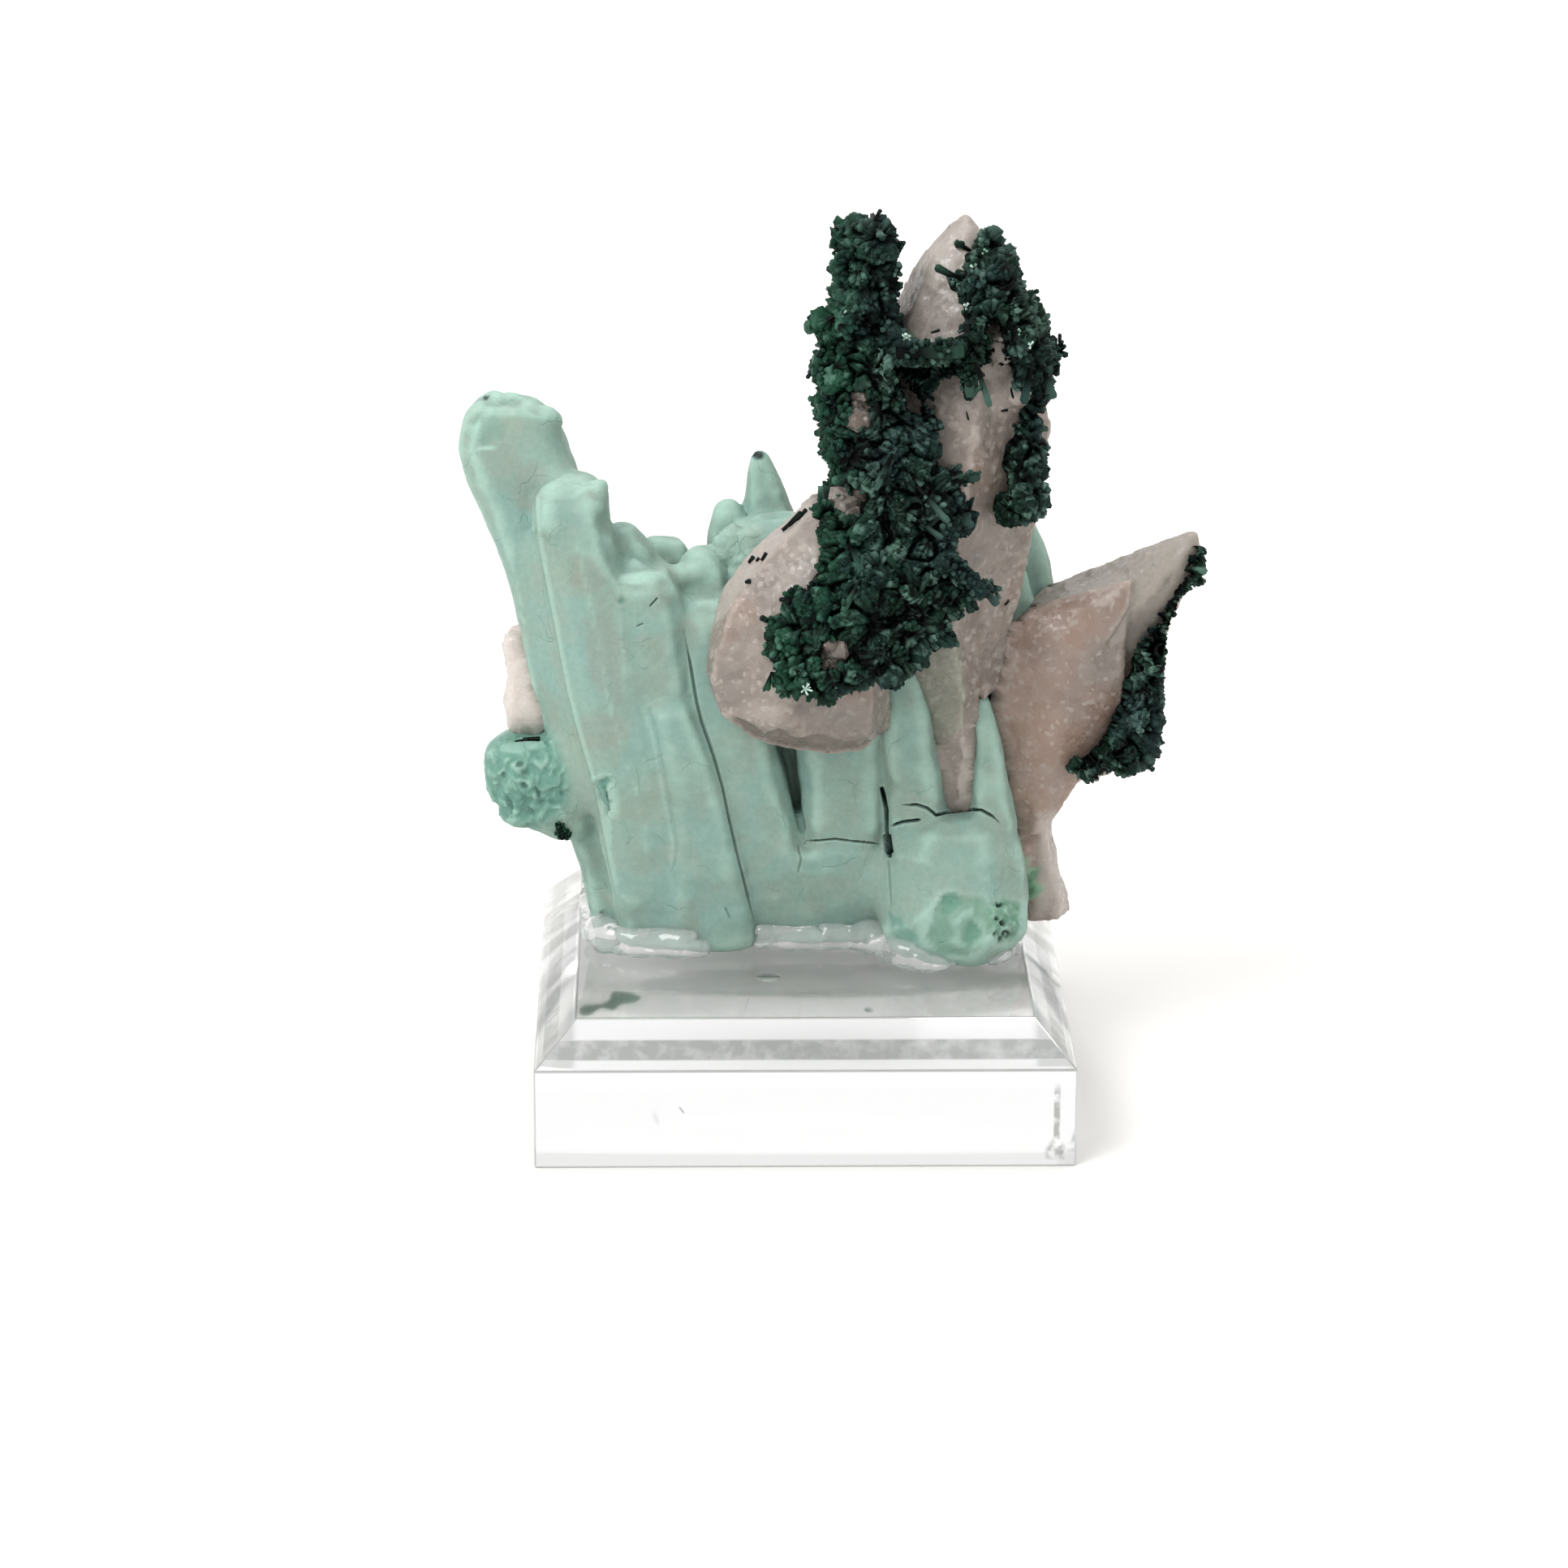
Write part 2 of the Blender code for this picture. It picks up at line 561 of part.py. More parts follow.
def studded(rings, count, seed, keep):
    """Knobs over the surface of a crust: random levels and angles, kept where keep(point) says so."""
    draw = random.Random(seed)
    knobs = []
    while len(knobs) < count:
        place = draw.uniform(0.4, len(rings) - 1.0)
        lower = rings[int(place)]
        upper = rings[min(int(place) + 1, len(rings) - 1)]
        share = place - int(place)
        height, left, right, front, back = (a + (b - a) * share for a, b in zip(lower, upper))
        angle = draw.uniform(0.0, 2 * math.pi)
        radius = draw.uniform(*KNOB_RADII)
        inward = KNOB_SINK * radius
        point = (
            (left + right) / 2 + boxed(math.cos(angle), CRUST_BOXINESS) * ((right - left) / 2 - inward),
            (front + back) / 2 + boxed(math.sin(angle), CRUST_BOXINESS) * ((back - front) / 2 - inward),
            height,
        )
        stretch = draw.uniform(0.8, 1.5)
        if keep(point):
            knobs.append((point, (radius, radius, radius * stretch)))
    return knobs


def placed(shapes, group):
    """One object for each shape, in the given collection."""
    made = []
    for shape in shapes:
        mesh = bpy.data.meshes.new("piece")
        shape.to_mesh(mesh)
        shape.free()
        item = bpy.data.objects.new("piece", mesh)
        item.hide_render = True
        item.display_type = "WIRE"
        group.objects.link(item)
        made.append(item)
    return made


def largest_body(mesh):
    """Deletes all but the largest connected body of the mesh."""
    shape = bmesh.new()
    shape.from_mesh(mesh)
    unseen = set(shape.verts)
    bodies = []
    while unseen:
        stack = [unseen.pop()]
        body = set(stack)
        while stack:
            for edge in stack.pop().link_edges:
                for vert in edge.verts:
                    if vert in unseen:
                        unseen.remove(vert)
                        body.add(vert)
                        stack.append(vert)
        bodies.append(body)
    bodies.sort(key=len)
    for body in bodies[:-1]:
        bmesh.ops.delete(shape, geom=list(body), context="VERTS")
    shape.to_mesh(mesh)
    shape.free()


def fused(name, material, shapes, cutters=()):
    """One node: the union of the shapes, less the cutters, as a single closed body."""
    tools = collection(CUTTERS)
    first, *additions = placed(shapes, tools)
    removals = placed(cutters, tools)
    tools.objects.unlink(first)
    collection(PARTS).objects.link(first)
    first.hide_render = False
    first.display_type = "TEXTURED"
    for operation, items in (("UNION", additions), ("DIFFERENCE", removals)):
        for item in items:
            step = first.modifiers.new(operation.lower(), "BOOLEAN")
            step.solver = SOLVER
            step.operation = operation
            step.object = item
    seen = first.evaluated_get(bpy.context.evaluated_depsgraph_get())
    mesh = bpy.data.meshes.new_from_object(seen)
    first.modifiers.clear()
    first.data = mesh
    first.name = mesh.name = name
    for item in additions + removals:
        bpy.data.objects.remove(item, do_unlink=True)
    largest_body(mesh)
    mesh.materials.clear()
    mesh.materials.append(material)
    return first


def finger_shapes(swell=0.0):
    """The chrysocolla fingers and the knuckles at their tips."""
    fingers = []
    for group, sides in ((FRONT_FINGERS, FINGER_SIDES), (BACK_FINGERS, BACK_FINGER_SIDES)):
        for name, rings in group.items():
            boxiness = BOULDER_BOXINESS if name in BOULDERS else FINGER_BOXINESS
            turn = math.pi / sides
            fingers.append(grown(rings, sides, boxiness, turn, FINGER_ROUGHNESS, swell))
    knuckles = [lump((x, y, z), (r, r, r), FINGER_ROUGHNESS, swell) for x, y, z, r in KNUCKLES]
    return fingers + knuckles


def pit_shapes():
    """The pits and open cracks of the chrysocolla."""
    return [lump((x, y, z), (w, d, h)) for x, y, z, w, d, h in PITS]


def spindle_shapes(swell=0.0):
    """The tall quartz spindle, the crystal behind it and the bulky one at its lower left."""
    return [
        grown(SPINDLE, 6, 1.0, math.radians(10), CRYSTAL_ROUGHNESS, swell),
        grown(SPINDLE_BACK, 6, 1.0, math.radians(35), CRYSTAL_ROUGHNESS, swell),
        grown(BULKY_CRYSTAL, 7, 0.85, math.radians(20), CRYSTAL_ROUGHNESS, swell),
    ]


def wedge_shapes(swell=0.0):
    """The quartz wedge at the right, with its foot."""
    return [
        grown(WEDGE_FRONT, 6, 0.8, math.radians(0), CRYSTAL_ROUGHNESS, swell),
        grown(WEDGE_BACK, 6, 0.9, math.radians(12), CRYSTAL_ROUGHNESS, swell),
        grown(WEDGE_FOOT, 6, 0.8, math.radians(30), CRYSTAL_ROUGHNESS, swell),
    ]


def left_crystal_shapes(swell=0.0):
    """The small quartz crystal on the left finger."""
    return [grown(LEFT_CRYSTAL, 6, 0.9, math.radians(15), CRYSTAL_ROUGHNESS, swell)]


def crust_shapes(rings, count, seed, rods=(), keep=lambda point: True, swell=0.0):
    """A malachite crust: a rough core, the knobs that stud it and its free rods."""
    core = grown(rings, CRUST_SIDES, CRUST_BOXINESS, math.pi / CRUST_SIDES, CRUST_ROUGHNESS, swell)
    knobs = [lump(point, radii, 0.3, swell) for point, radii in studded(rings, count, seed, keep)]
    sticks = [rod(start, end, radius, swell=swell) for start, end, radius in rods]
    return [core, *knobs, *sticks]


def make_block(material):
    """The acrylic block: a square slab whose upper edges are bevelled at 45 degrees."""
    shape = bmesh.new()
    bmesh.ops.create_cube(
        shape, size=1.0,
        matrix=Matrix.Translation((0.0, 0.0, BLOCK_HEIGHT / 2 * MM))
        @ Matrix.Diagonal((BLOCK_SIDE * MM, BLOCK_SIDE * MM, BLOCK_HEIGHT * MM, 1.0)),
    )
    middle = BLOCK_HEIGHT / 2 * MM
    upper = [edge for edge in shape.edges if all(vert.co.z > middle for vert in edge.verts)]
    bmesh.ops.bevel(
        shape, geom=upper, offset=BLOCK_BEVEL * MM, offset_type="OFFSET", segments=1, affect="EDGES",
    )
    mesh = bpy.data.meshes.new("acrylic_block")
    shape.to_mesh(mesh)
    shape.free()
    mesh.materials.append(material)
    block = bpy.data.objects.new("acrylic_block", mesh)
    collection(PARTS).objects.link(block)
    return block


def adhesive_shape():
    """The pad of clear adhesive: its outline raised and drawn in towards the top."""
    pad = bmesh.new()
    count = len(ADHESIVE_EDGE)
    bmesh.ops.create_cone(
        pad, cap_ends=True, segments=count, radius1=1.0, radius2=1.0, depth=1.0,
        matrix=Matrix.Translation((0.0, 0.0, 0.5)),
    )
    middle = Vector((*ADHESIVE_MIDDLE, 0.0))
    for vert in pad.verts:
        index = round(math.atan2(vert.co.y, vert.co.x) / (2 * math.pi) * count) % count
        edge = Vector((*ADHESIVE_EDGE[(count // 2 + index) % count], 0.0))
        is_top = vert.co.z > 0.5
        share = ADHESIVE_TOP_SHARE if is_top else 1.0
        height = BLOCK_HEIGHT + REST + (ADHESIVE_RISE if is_top else 0.0)
        vert.co = (middle + (edge - middle) * share + Vector((0.0, 0.0, height))) * MM
    bmesh.ops.recalc_face_normals(pad, faces=pad.faces[:])
    return pad


def main():
    clear_scene()
    noise.seed_set(NOISE_SEED)
    finishes = {name: finish(name) for name in FINISHES}
    make_block(finishes["acrylic"])
    fused("chrysocolla", finishes["chrysocolla"], finger_shapes(), pit_shapes())
    fused("clear_adhesive", finishes["adhesive"], [adhesive_shape()], finger_shapes(GAP))
    fused("quartz_spindle", finishes["quartz"], spindle_shapes(), finger_shapes(GAP))
    fused("quartz_wedge", finishes["quartz"], wedge_shapes(), finger_shapes(GAP) + spindle_shapes(GAP))
    fused("quartz_left", finishes["quartz"], left_crystal_shapes(), finger_shapes(GAP))

    def hosts():
        return finger_shapes(GAP) + spindle_shapes(GAP) + wedge_shapes(GAP)

    crust = crust_shapes(CRUST_COLUMN, COLUMN_KNOBS, 11, CRUST_RODS, lambda p: p[1] < 0 or p[2] > 46)
    crest = crust_shapes(CRUST_CREST, CREST_KNOBS, 12, (), lambda p: p[1] < 0 or p[0] > 14)
    fused("malachite_crust", finishes["malachite"], crust + crest, hosts())
    flank = crust_shapes(CRUST_FLANK, FLANK_KNOBS, 13, (), lambda p: p[1] < 3.5)
    fused("malachite_flank", finishes["malachite"], flank, hosts())
    wedge = crust_shapes(CRUST_WEDGE, WEDGE_KNOBS, 14, WEDGE_RODS)
    fused("malachite_wedge", finishes["malachite"], wedge, hosts())


main()
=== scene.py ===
"""Looks of a chrysocolla specimen on a clear acrylic block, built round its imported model.

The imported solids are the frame. Each mineral is a close-grained skin that starts from a copy of its solid and is
then worked like the real thing: the fingers get their seams, cracks, pits and broken patches, the quartz gets its
ledges and sugary points, and the malachite is thousands of small rods in radiating tufts.
Lengths are in millimetres until they reach a mesh. Pixels are those of the 1932 x 1932 photograph, and the lens
that was solved for it turns them into places on the surface that carries them.
"""

import logging
import math
import random
from dataclasses import dataclass, field
from enum import Enum

import bmesh
import bpy
import numpy as np
from mathutils import Matrix, Vector, noise
from mathutils.bvhtree import BVHTree


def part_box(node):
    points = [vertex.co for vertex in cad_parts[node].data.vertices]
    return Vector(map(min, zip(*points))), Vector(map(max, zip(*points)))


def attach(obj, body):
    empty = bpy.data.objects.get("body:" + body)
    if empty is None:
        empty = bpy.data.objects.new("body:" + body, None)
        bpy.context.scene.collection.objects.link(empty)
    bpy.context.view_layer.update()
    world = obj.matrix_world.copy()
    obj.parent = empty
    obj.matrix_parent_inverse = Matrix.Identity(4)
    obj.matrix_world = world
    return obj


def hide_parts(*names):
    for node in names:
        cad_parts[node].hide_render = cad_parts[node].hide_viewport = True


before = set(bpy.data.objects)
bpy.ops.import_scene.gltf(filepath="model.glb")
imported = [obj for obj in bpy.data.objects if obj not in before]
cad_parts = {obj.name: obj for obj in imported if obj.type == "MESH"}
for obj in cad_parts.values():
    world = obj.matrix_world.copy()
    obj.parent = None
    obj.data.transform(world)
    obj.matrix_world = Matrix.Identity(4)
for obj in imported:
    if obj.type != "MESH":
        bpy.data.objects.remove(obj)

LOG = logging.getLogger("chrysocolla")
MM = 0.001
NOISE_SEED = 7
BODY = "root"
Pixel = tuple[float, float]
Line = tuple[Pixel, ...]


class Tone(Enum):
    """What a patch changes on the skin that carries it."""

    # Paler tone: painted highlights on tops, crests, edges, bumps, lips and rims, and the left quartz crystal's own
    # paler colour.
    PALE = "pale"
    GREY = "grey"
    # Teal tone: the stone's own colour where it is broken, and some painted shade in seams and hollows.
    TEAL = "teal"
    GREEN = "green"
    # Darker tone: painted shade in seams, cracks, pits and hollows, and a few small dark spots.
    DARK = "dark"
    CLEAR = "clear"


def linear(colour: str) -> tuple[float, float, float, float]:
    """Turns an sRGB hex colour into linear values.

    Args:
        colour: six hex digits after a hash sign.

    Returns:
        Red, green, blue and an alpha of 1.
    """
    shares = [int(colour[i:i + 2], 16) / 255 for i in (1, 3, 5)]
    values = [s / 12.92 if s <= 0.04045 else ((s + 0.055) / 1.055) ** 2.4 for s in shares]
    return (*values, 1.0)


@dataclass(frozen=True)
class Lens:
    """The photograph's camera, solved from the block's visible corners."""

    eye: tuple[float, float, float] = (-8.7426, -377.6934, 147.4392)
    yaw: float = -1.14
    pitch: float = 18.37
    roll: float = 0.22
    focal_px: float = 6796.0
    frame_px: float = 1932.0
    sensor: float = 36.0

    def axes(self) -> tuple[Vector, Vector, Vector]:
        """The camera's right, up and back directions."""
        yaw, pitch, roll = (math.radians(a) for a in (self.yaw, self.pitch, self.roll))
        flat = math.cos(pitch)
        back = Vector((math.sin(yaw) * flat, -math.cos(yaw) * flat, math.sin(pitch)))
        level = Vector((math.cos(yaw), math.sin(yaw), 0.0))
        right = level * math.cos(roll) + back.cross(level) * math.sin(roll)
        return right, back.cross(right), back

    def pixels(self, points: np.ndarray) -> np.ndarray:
        """Where points fall in the photograph.

        Args:
            points: rows of X, Y and Z in millimetres.

        Returns:
            Rows of pixel X and pixel Y.
        """
        right, up, back = (np.array(a) for a in self.axes())
        away = points - np.array(self.eye)
        depth = -(away @ back)
        middle = self.frame_px / 2
        across = middle + away @ right * self.focal_px / depth
        down = middle - away @ up * self.focal_px / depth
        return np.column_stack((across, down))

    def hit(self, tree: BVHTree, pixel: Pixel) -> tuple[Vector, Vector] | None:
        """The first place on a surface that a pixel shows.

        Args:
            tree: the surface, in metres.
            pixel: pixel X and pixel Y.

        Returns:
            The place in millimetres and the surface's normal, or None where the pixel misses it.
        """
        right, up, back = self.axes()
        middle = self.frame_px / 2
        ray = right * (pixel[0] - middle) / self.focal_px + up * (middle - pixel[1]) / self.focal_px - back
        place, normal, _, _ = tree.ray_cast(Vector(self.eye) * MM, ray.normalized())
        return None if place is None else (place / MM, normal)

    def flat_step(self, place: Vector, start: Pixel, end: Pixel) -> Vector:
        """The step, square to the view at a place, that covers the way between two pixels."""
        right, up, back = self.axes()
        scale = (Vector(self.eye) - place).dot(back) / self.focal_px
        return right * (end[0] - start[0]) * scale + up * (start[1] - end[1]) * scale

    def behind(self, place: Vector, depth: float) -> Vector:
        """The place that lies the given millimetres further along the ray through a place."""
        return place + (place - Vector(self.eye)).normalized() * depth

    def make_camera(self) -> bpy.types.Object:
        """Adds the camera and makes it the scene's."""
        camera = bpy.data.objects.new("camera", bpy.data.cameras.new("camera"))
        right, up, back = self.axes()
        turn = Matrix((right, up, back)).transposed().to_4x4()
        camera.matrix_world = Matrix.Translation(Vector(self.eye) * MM) @ turn
        camera.data.sensor_width = self.sensor
        camera.data.lens = self.sensor * self.focal_px / self.frame_px
        camera.data.clip_start = 0.01
        camera.data.clip_end = 20.0
        bpy.context.scene.collection.objects.link(camera)
        bpy.context.scene.camera = camera
        return camera


LENS = Lens()


@dataclass(frozen=True)
class Groove:
    """A seam or crack drawn along pixels of the photograph; width is its half width, sizes are millimetres and dark is
    the strength of the painted shade along it.
    """

    line: Line
    width: float
    depth: float
    dark: float
    fades: bool = True


@dataclass(frozen=True)
class Ledge:
    """A step along a line of pixels: the side to the left of the line's run stands higher, and falls off slowly; pale
    is the strength of the painted highlight on its lip.
    """

    line: Line
    rise: float
    reach: float
    pale: float = 0.6


@dataclass(frozen=True)
class Spot:
    """An elliptical patch: it can sink or swell the surface and shifts its tone."""

    centre: Pixel
    radii: tuple[float, float]
    tone: Tone
    strength: float
    turn: float = 0.0
    rise: float = 0.0
    ragged: float = 0.25


@dataclass(frozen=True)
class Region:
    """A patch with an outline of pixels."""

    outline: Line
    tone: Tone
    strength: float
    soft: float = 4.0
    rise: float = 0.0


@dataclass(frozen=True)
class Dab:
    """A lump (or a dent, where rise is negative) round the place on the surface that a pixel shows."""

    pixel: Pixel
    radius: float
    rise: float


@dataclass(frozen=True)
class Zone:
    """A ball behind the place that a pixel shows, where the skin is rougher and its tone shifts on every side."""

    pixel: Pixel
    behind: float
    radius: float
    rough: float
    tone: Tone
    strength: float


def deselect() -> None:
    """Leaves nothing selected and no object in edit mode."""
    if bpy.context.object and bpy.context.object.mode != "OBJECT":
        bpy.ops.object.mode_set(mode="OBJECT")
    bpy.ops.object.select_all(action="DESELECT")


def activate(piece: bpy.types.Object) -> None:
    """Makes a piece the only selected and active one."""
    deselect()
    piece.select_set(True)
    bpy.context.view_layer.objects.active = piece


def modify(piece: bpy.types.Object, kind: str, **settings: object) -> None:
    """Adds one modifier to a piece and applies it.

    Args:
        piece: the object that is shaped.
        kind: the modifier's type.
        settings: its properties.
    """
    activate(piece)
    step = piece.modifiers.new(kind.lower(), kind)
    for name, value in settings.items():
        setattr(step, name, value)
    bpy.ops.object.modifier_apply(modifier=step.name)


def start_piece(name: str) -> bpy.types.Object:
    """Names the primitive that was just added and bakes its place into its mesh."""
    piece = bpy.context.object
    piece.name = piece.data.name = name
    bpy.ops.object.transform_apply(location=True, rotation=True, scale=True)
    return piece


def select_faces(piece: bpy.types.Object, wanted) -> None:
    """Selects the faces of a piece in edit mode for which wanted(face) holds."""
    shape = bmesh.from_edit_mesh(piece.data)
    bpy.ops.mesh.select_mode(type="FACE")
    for face in shape.faces:
        face.select_set(wanted(face))
    shape.select_flush_mode()
    bmesh.update_edit_mesh(piece.data)


def copy_of_solid(node: str, name: str) -> bpy.types.Object:
    """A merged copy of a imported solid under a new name; the solid itself is left alone."""
    deselect()
    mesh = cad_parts[node].data.copy()
    mesh.materials.clear()
    piece = bpy.data.objects.new(name, mesh)
    mesh.name = name
    bpy.context.scene.collection.objects.link(piece)
    shape = bmesh.new()
    shape.from_mesh(mesh)
    bmesh.ops.remove_doubles(shape, verts=shape.verts[:], dist=2e-6)
    shape.to_mesh(mesh)
    shape.free()
    return piece


def tree_of(*pieces: bpy.types.Object) -> BVHTree:
    """One search tree over the meshes of several objects that sit at the origin."""
    points: list[Vector] = []
    faces: list[tuple[int, ...]] = []
    for piece in pieces:
        start = len(points)
        points.extend(vert.co.copy() for vert in piece.data.vertices)
        faces.extend(tuple(start + i for i in face.vertices) for face in piece.data.polygons)
    return BVHTree.FromPolygons(points, faces)


def smooth_step(values: np.ndarray) -> np.ndarray:
    """Eases values from 0 to 1 at both ends."""
    held = np.clip(values, 0.0, 1.0)
    return held * held * (3 - 2 * held)


def unevenness(points: np.ndarray, pitch: float, layer: int) -> np.ndarray:
    """Smooth noise.

    Args:
        points: rows of X, Y and Z in millimetres.
        pitch: distance over which it changes.
        layer: which of the independent noises to use.

    Returns:
        One value for each point, between about -1 and 1.
    """
    shift = Vector((31.7 * layer, 12.9 * layer, -7.3 * layer))
    return np.array([noise.noise(Vector(point) / pitch + shift) for point in points])


def distance_to_line(places: np.ndarray, line: Line) -> tuple[np.ndarray, np.ndarray, np.ndarray]:
    """How far pixels lie from a line of pixels.

    Args:
        places: rows of pixel X and pixel Y.
        line: the line's points.

    Returns:
        Distance, share of the way along the line, and side (positive to the left of the run on the page).
    """
    ends = np.array(line, float)
    runs = np.linalg.norm(np.diff(ends, axis=0), axis=1)
    before = np.concatenate(([0.0], np.cumsum(runs)))
    best = np.full(len(places), 1e9)
    along = np.zeros(len(places))
    side = np.zeros(len(places))
    for i, run in enumerate(runs):
        way = (ends[i + 1] - ends[i]) / run
        away = places - ends[i]
        share = np.clip(away @ way, 0.0, run)
        gap = np.linalg.norm(away - share[:, None] * way, axis=1)
        nearer = gap < best
        best = np.where(nearer, gap, best)
        along = np.where(nearer, (before[i] + share) / before[-1], along)
        cross = way[0] * away[:, 1] - way[1] * away[:, 0]
        side = np.where(nearer, -cross, side)
    return best, along, side


def inside(places: np.ndarray, outline: Line) -> np.ndarray:
    """Tells which pixels lie inside a closed outline."""
    ends = np.array(outline, float)
    within = np.zeros(len(places), bool)
    for first, second in zip(ends, np.roll(ends, -1, axis=0)):
        low, high = (first, second) if first[1] < second[1] else (second, first)
        crosses = (places[:, 1] >= low[1]) & (places[:, 1] < high[1])
        rise = max(high[1] - low[1], 1e-9)
        at = low[0] + (places[:, 1] - low[1]) / rise * (high[0] - low[0])
        within ^= crosses & (places[:, 0] < at)
    return within


class Skin:
    """The mesh of a piece as arrays, in millimetres, which rules can shape and tone."""

    def __init__(self, piece: bpy.types.Object) -> None:
        self.piece = piece
        self.tones: dict[Tone, np.ndarray] = {}
        self.read()

    def read(self) -> None:
        """Takes the points, normals and edges from the mesh."""
        mesh = self.piece.data
        mesh.update()
        count = len(mesh.vertices)
        flat = np.empty(count * 3, np.float32)
        mesh.vertices.foreach_get("co", flat)
        self.points = flat.reshape(-1, 3).astype(float) / MM
        mesh.vertex_normals.foreach_get("vector", flat)
        self.normals = flat.reshape(-1, 3).astype(float)
        ends = np.empty(len(mesh.edges) * 2, np.int32)
        mesh.edges.foreach_get("vertices", ends)
        self.edges = ends.reshape(-1, 2)
        for tone in self.tones:
            layer = mesh.attributes.get(tone.value)
            values = np.zeros(count, np.float32)
            if layer is not None:
                layer.data.foreach_get("value", values)
            self.tones[tone] = values.astype(float)

    def store(self) -> None:
        """Stores the tones in the mesh, where a split passes them on to new points."""
        mesh = self.piece.data
        for tone, values in self.tones.items():
            layer = mesh.attributes.get(tone.value) or mesh.attributes.new(tone.value, "FLOAT", "POINT")
            layer.data.foreach_set("value", values.astype(np.float32))

    def write(self) -> None:
        """Puts the points back into the mesh and takes the normals again."""
        mesh = self.piece.data
        mesh.vertices.foreach_set("co", (self.points * MM).astype(np.float32).reshape(-1))
        tones = dict(self.tones)
        self.read()
        self.tones = tones

    def push(self, rise: np.ndarray) -> None:
        """Moves the surface outwards by the given millimetres, inwards where negative."""
        self.points += self.normals * rise[:, None]
        self.write()

    def neighbour_mean(self, values: np.ndarray) -> np.ndarray:
        """The mean of each point's neighbours."""
        count = len(values)
        first, second = self.edges[:, 0], self.edges[:, 1]
        shares = np.bincount(first, minlength=count) + np.bincount(second, minlength=count)
        total = np.bincount(first, values[second], count) + np.bincount(second, values[first], count)
        return total / np.maximum(shares, 1)

    def crest(self, rounds: int) -> np.ndarray:
        """How far each point stands above its neighbourhood, in millimetres: positive on edges, negative in seams."""
        softened = self.points.copy()
        for _ in range(rounds):
            softened = np.column_stack([self.neighbour_mean(softened[:, i]) for i in range(3)])
        return ((self.points - softened) * self.normals).sum(axis=1)

    def dab(self, dabs: list[Dab]) -> None:
        """Swells or dents the surface round places that the photograph shows."""
        tree = tree_of(self.piece)
        rise = np.zeros(len(self.points))
        for item in dabs:
            found = LENS.hit(tree, item.pixel)
            if found is None:
                LOG.warning("no surface under pixel %s", item.pixel)
                continue
            gap = np.linalg.norm(self.points - np.array(found[0]), axis=1)
            rise += item.rise * smooth_step(1.0 - gap / item.radius)
        self.push(rise)

    def roughen(self, zones: list[Zone]) -> None:
        """Makes the skin rough and pitted inside balls, and shifts its tone there, with painted shade in the pits and
        a painted highlight on the bumps.
        """
        for item in zones:
            tree = tree_of(self.piece)
            found = LENS.hit(tree, item.pixel)
            if found is None:
                LOG.warning("no surface under pixel %s", item.pixel)
                continue
            centre = np.array(LENS.behind(found[0], item.behind))
            self.split(np.linalg.norm(self.points - centre, axis=1) < item.radius)
            cover = smooth_step((1.1 - np.linalg.norm(self.points - centre, axis=1) / item.radius) / 0.3)
            inside_ball = np.flatnonzero(cover > 0.01)
            rise = np.zeros(len(self.points))
            near = self.points[inside_ball]
            bent = near + np.column_stack([unevenness(near, 1.0, layer) for layer in (13, 14, 15)]) * 0.7
            ridges = unevenness(bent, 2.4, 11) * 1.6 + unevenness(bent, 0.8, 12) + unevenness(bent, 0.4, 16) * 0.5
            rise[inside_ball] = ridges * item.rough
            self.push(rise * cover)
            self.tone(item.tone, item.strength * cover)
            # Painted shade in the pits and a painted highlight on the bumps.
            self.tone(Tone.DARK, smooth_step(-rise / item.rough - 0.45) * 0.3 * cover)
            self.tone(Tone.PALE, smooth_step(rise / item.rough - 0.3) * 0.3 * cover)

    def melt(self, outlines: list[Line], rounds: int) -> None:
        """Evens out the steps of the solid inside outlines of pixels, where the real surface runs on smoothly."""
        away = np.linalg.norm(self.points - np.array(LENS.eye), axis=1)
        for outline in outlines:
            within = inside(self.places, outline)
            chosen = within & (away < np.median(away[within & self.seen]) + MELT_DEPTH)
            for _ in range(rounds):
                mean = np.column_stack([self.neighbour_mean(self.points[:, i]) for i in range(3)])
                self.points[chosen] = mean[chosen]
        self.write()

    def sink(self, outlines: list[Line], hosts: BVHTree, depth: float) -> None:
        """Draws the surface in behind the hosts inside outlines of pixels, so that the hosts show there."""
        self.look()
        for outline in outlines:
            for index in np.flatnonzero(inside(self.places, outline) & self.seen):
                found = LENS.hit(hosts, tuple(self.places[index]))
                if found is not None:
                    self.points[index] = LENS.behind(found[0], depth)
        self.write()

    def trim(self, outlines: list[Line]) -> None:
        """Draws points that fall a little outside all outlines of pixels back to the nearest one, square to the view."""
        places = LENS.pixels(self.points)
        best = np.full(len(places), 1e9)
        target = places.copy()
        within = np.zeros(len(places), bool)
        for outline in outlines:
            within |= inside(places, outline)
            ends = np.array((*outline, outline[0]), float)
            for first, second in zip(ends, ends[1:]):
                way = second - first
                share = np.clip((places - first) @ way / (way @ way), 0.0, 1.0)
                near = first + share[:, None] * way
                gap = np.linalg.norm(places - near, axis=1)
                target = np.where((gap < best)[:, None], near, target)
                best = np.minimum(gap, best)
        step = (target - places) * (~within & (best < TRIM_REACH))[:, None]
        right, up, back = (np.array(axis) for axis in LENS.axes())
        scale = (np.array(LENS.eye) - self.points) @ back / LENS.focal_px
        self.points += np.outer(step[:, 0] * scale, right) - np.outer(step[:, 1] * scale, up)
        self.write()

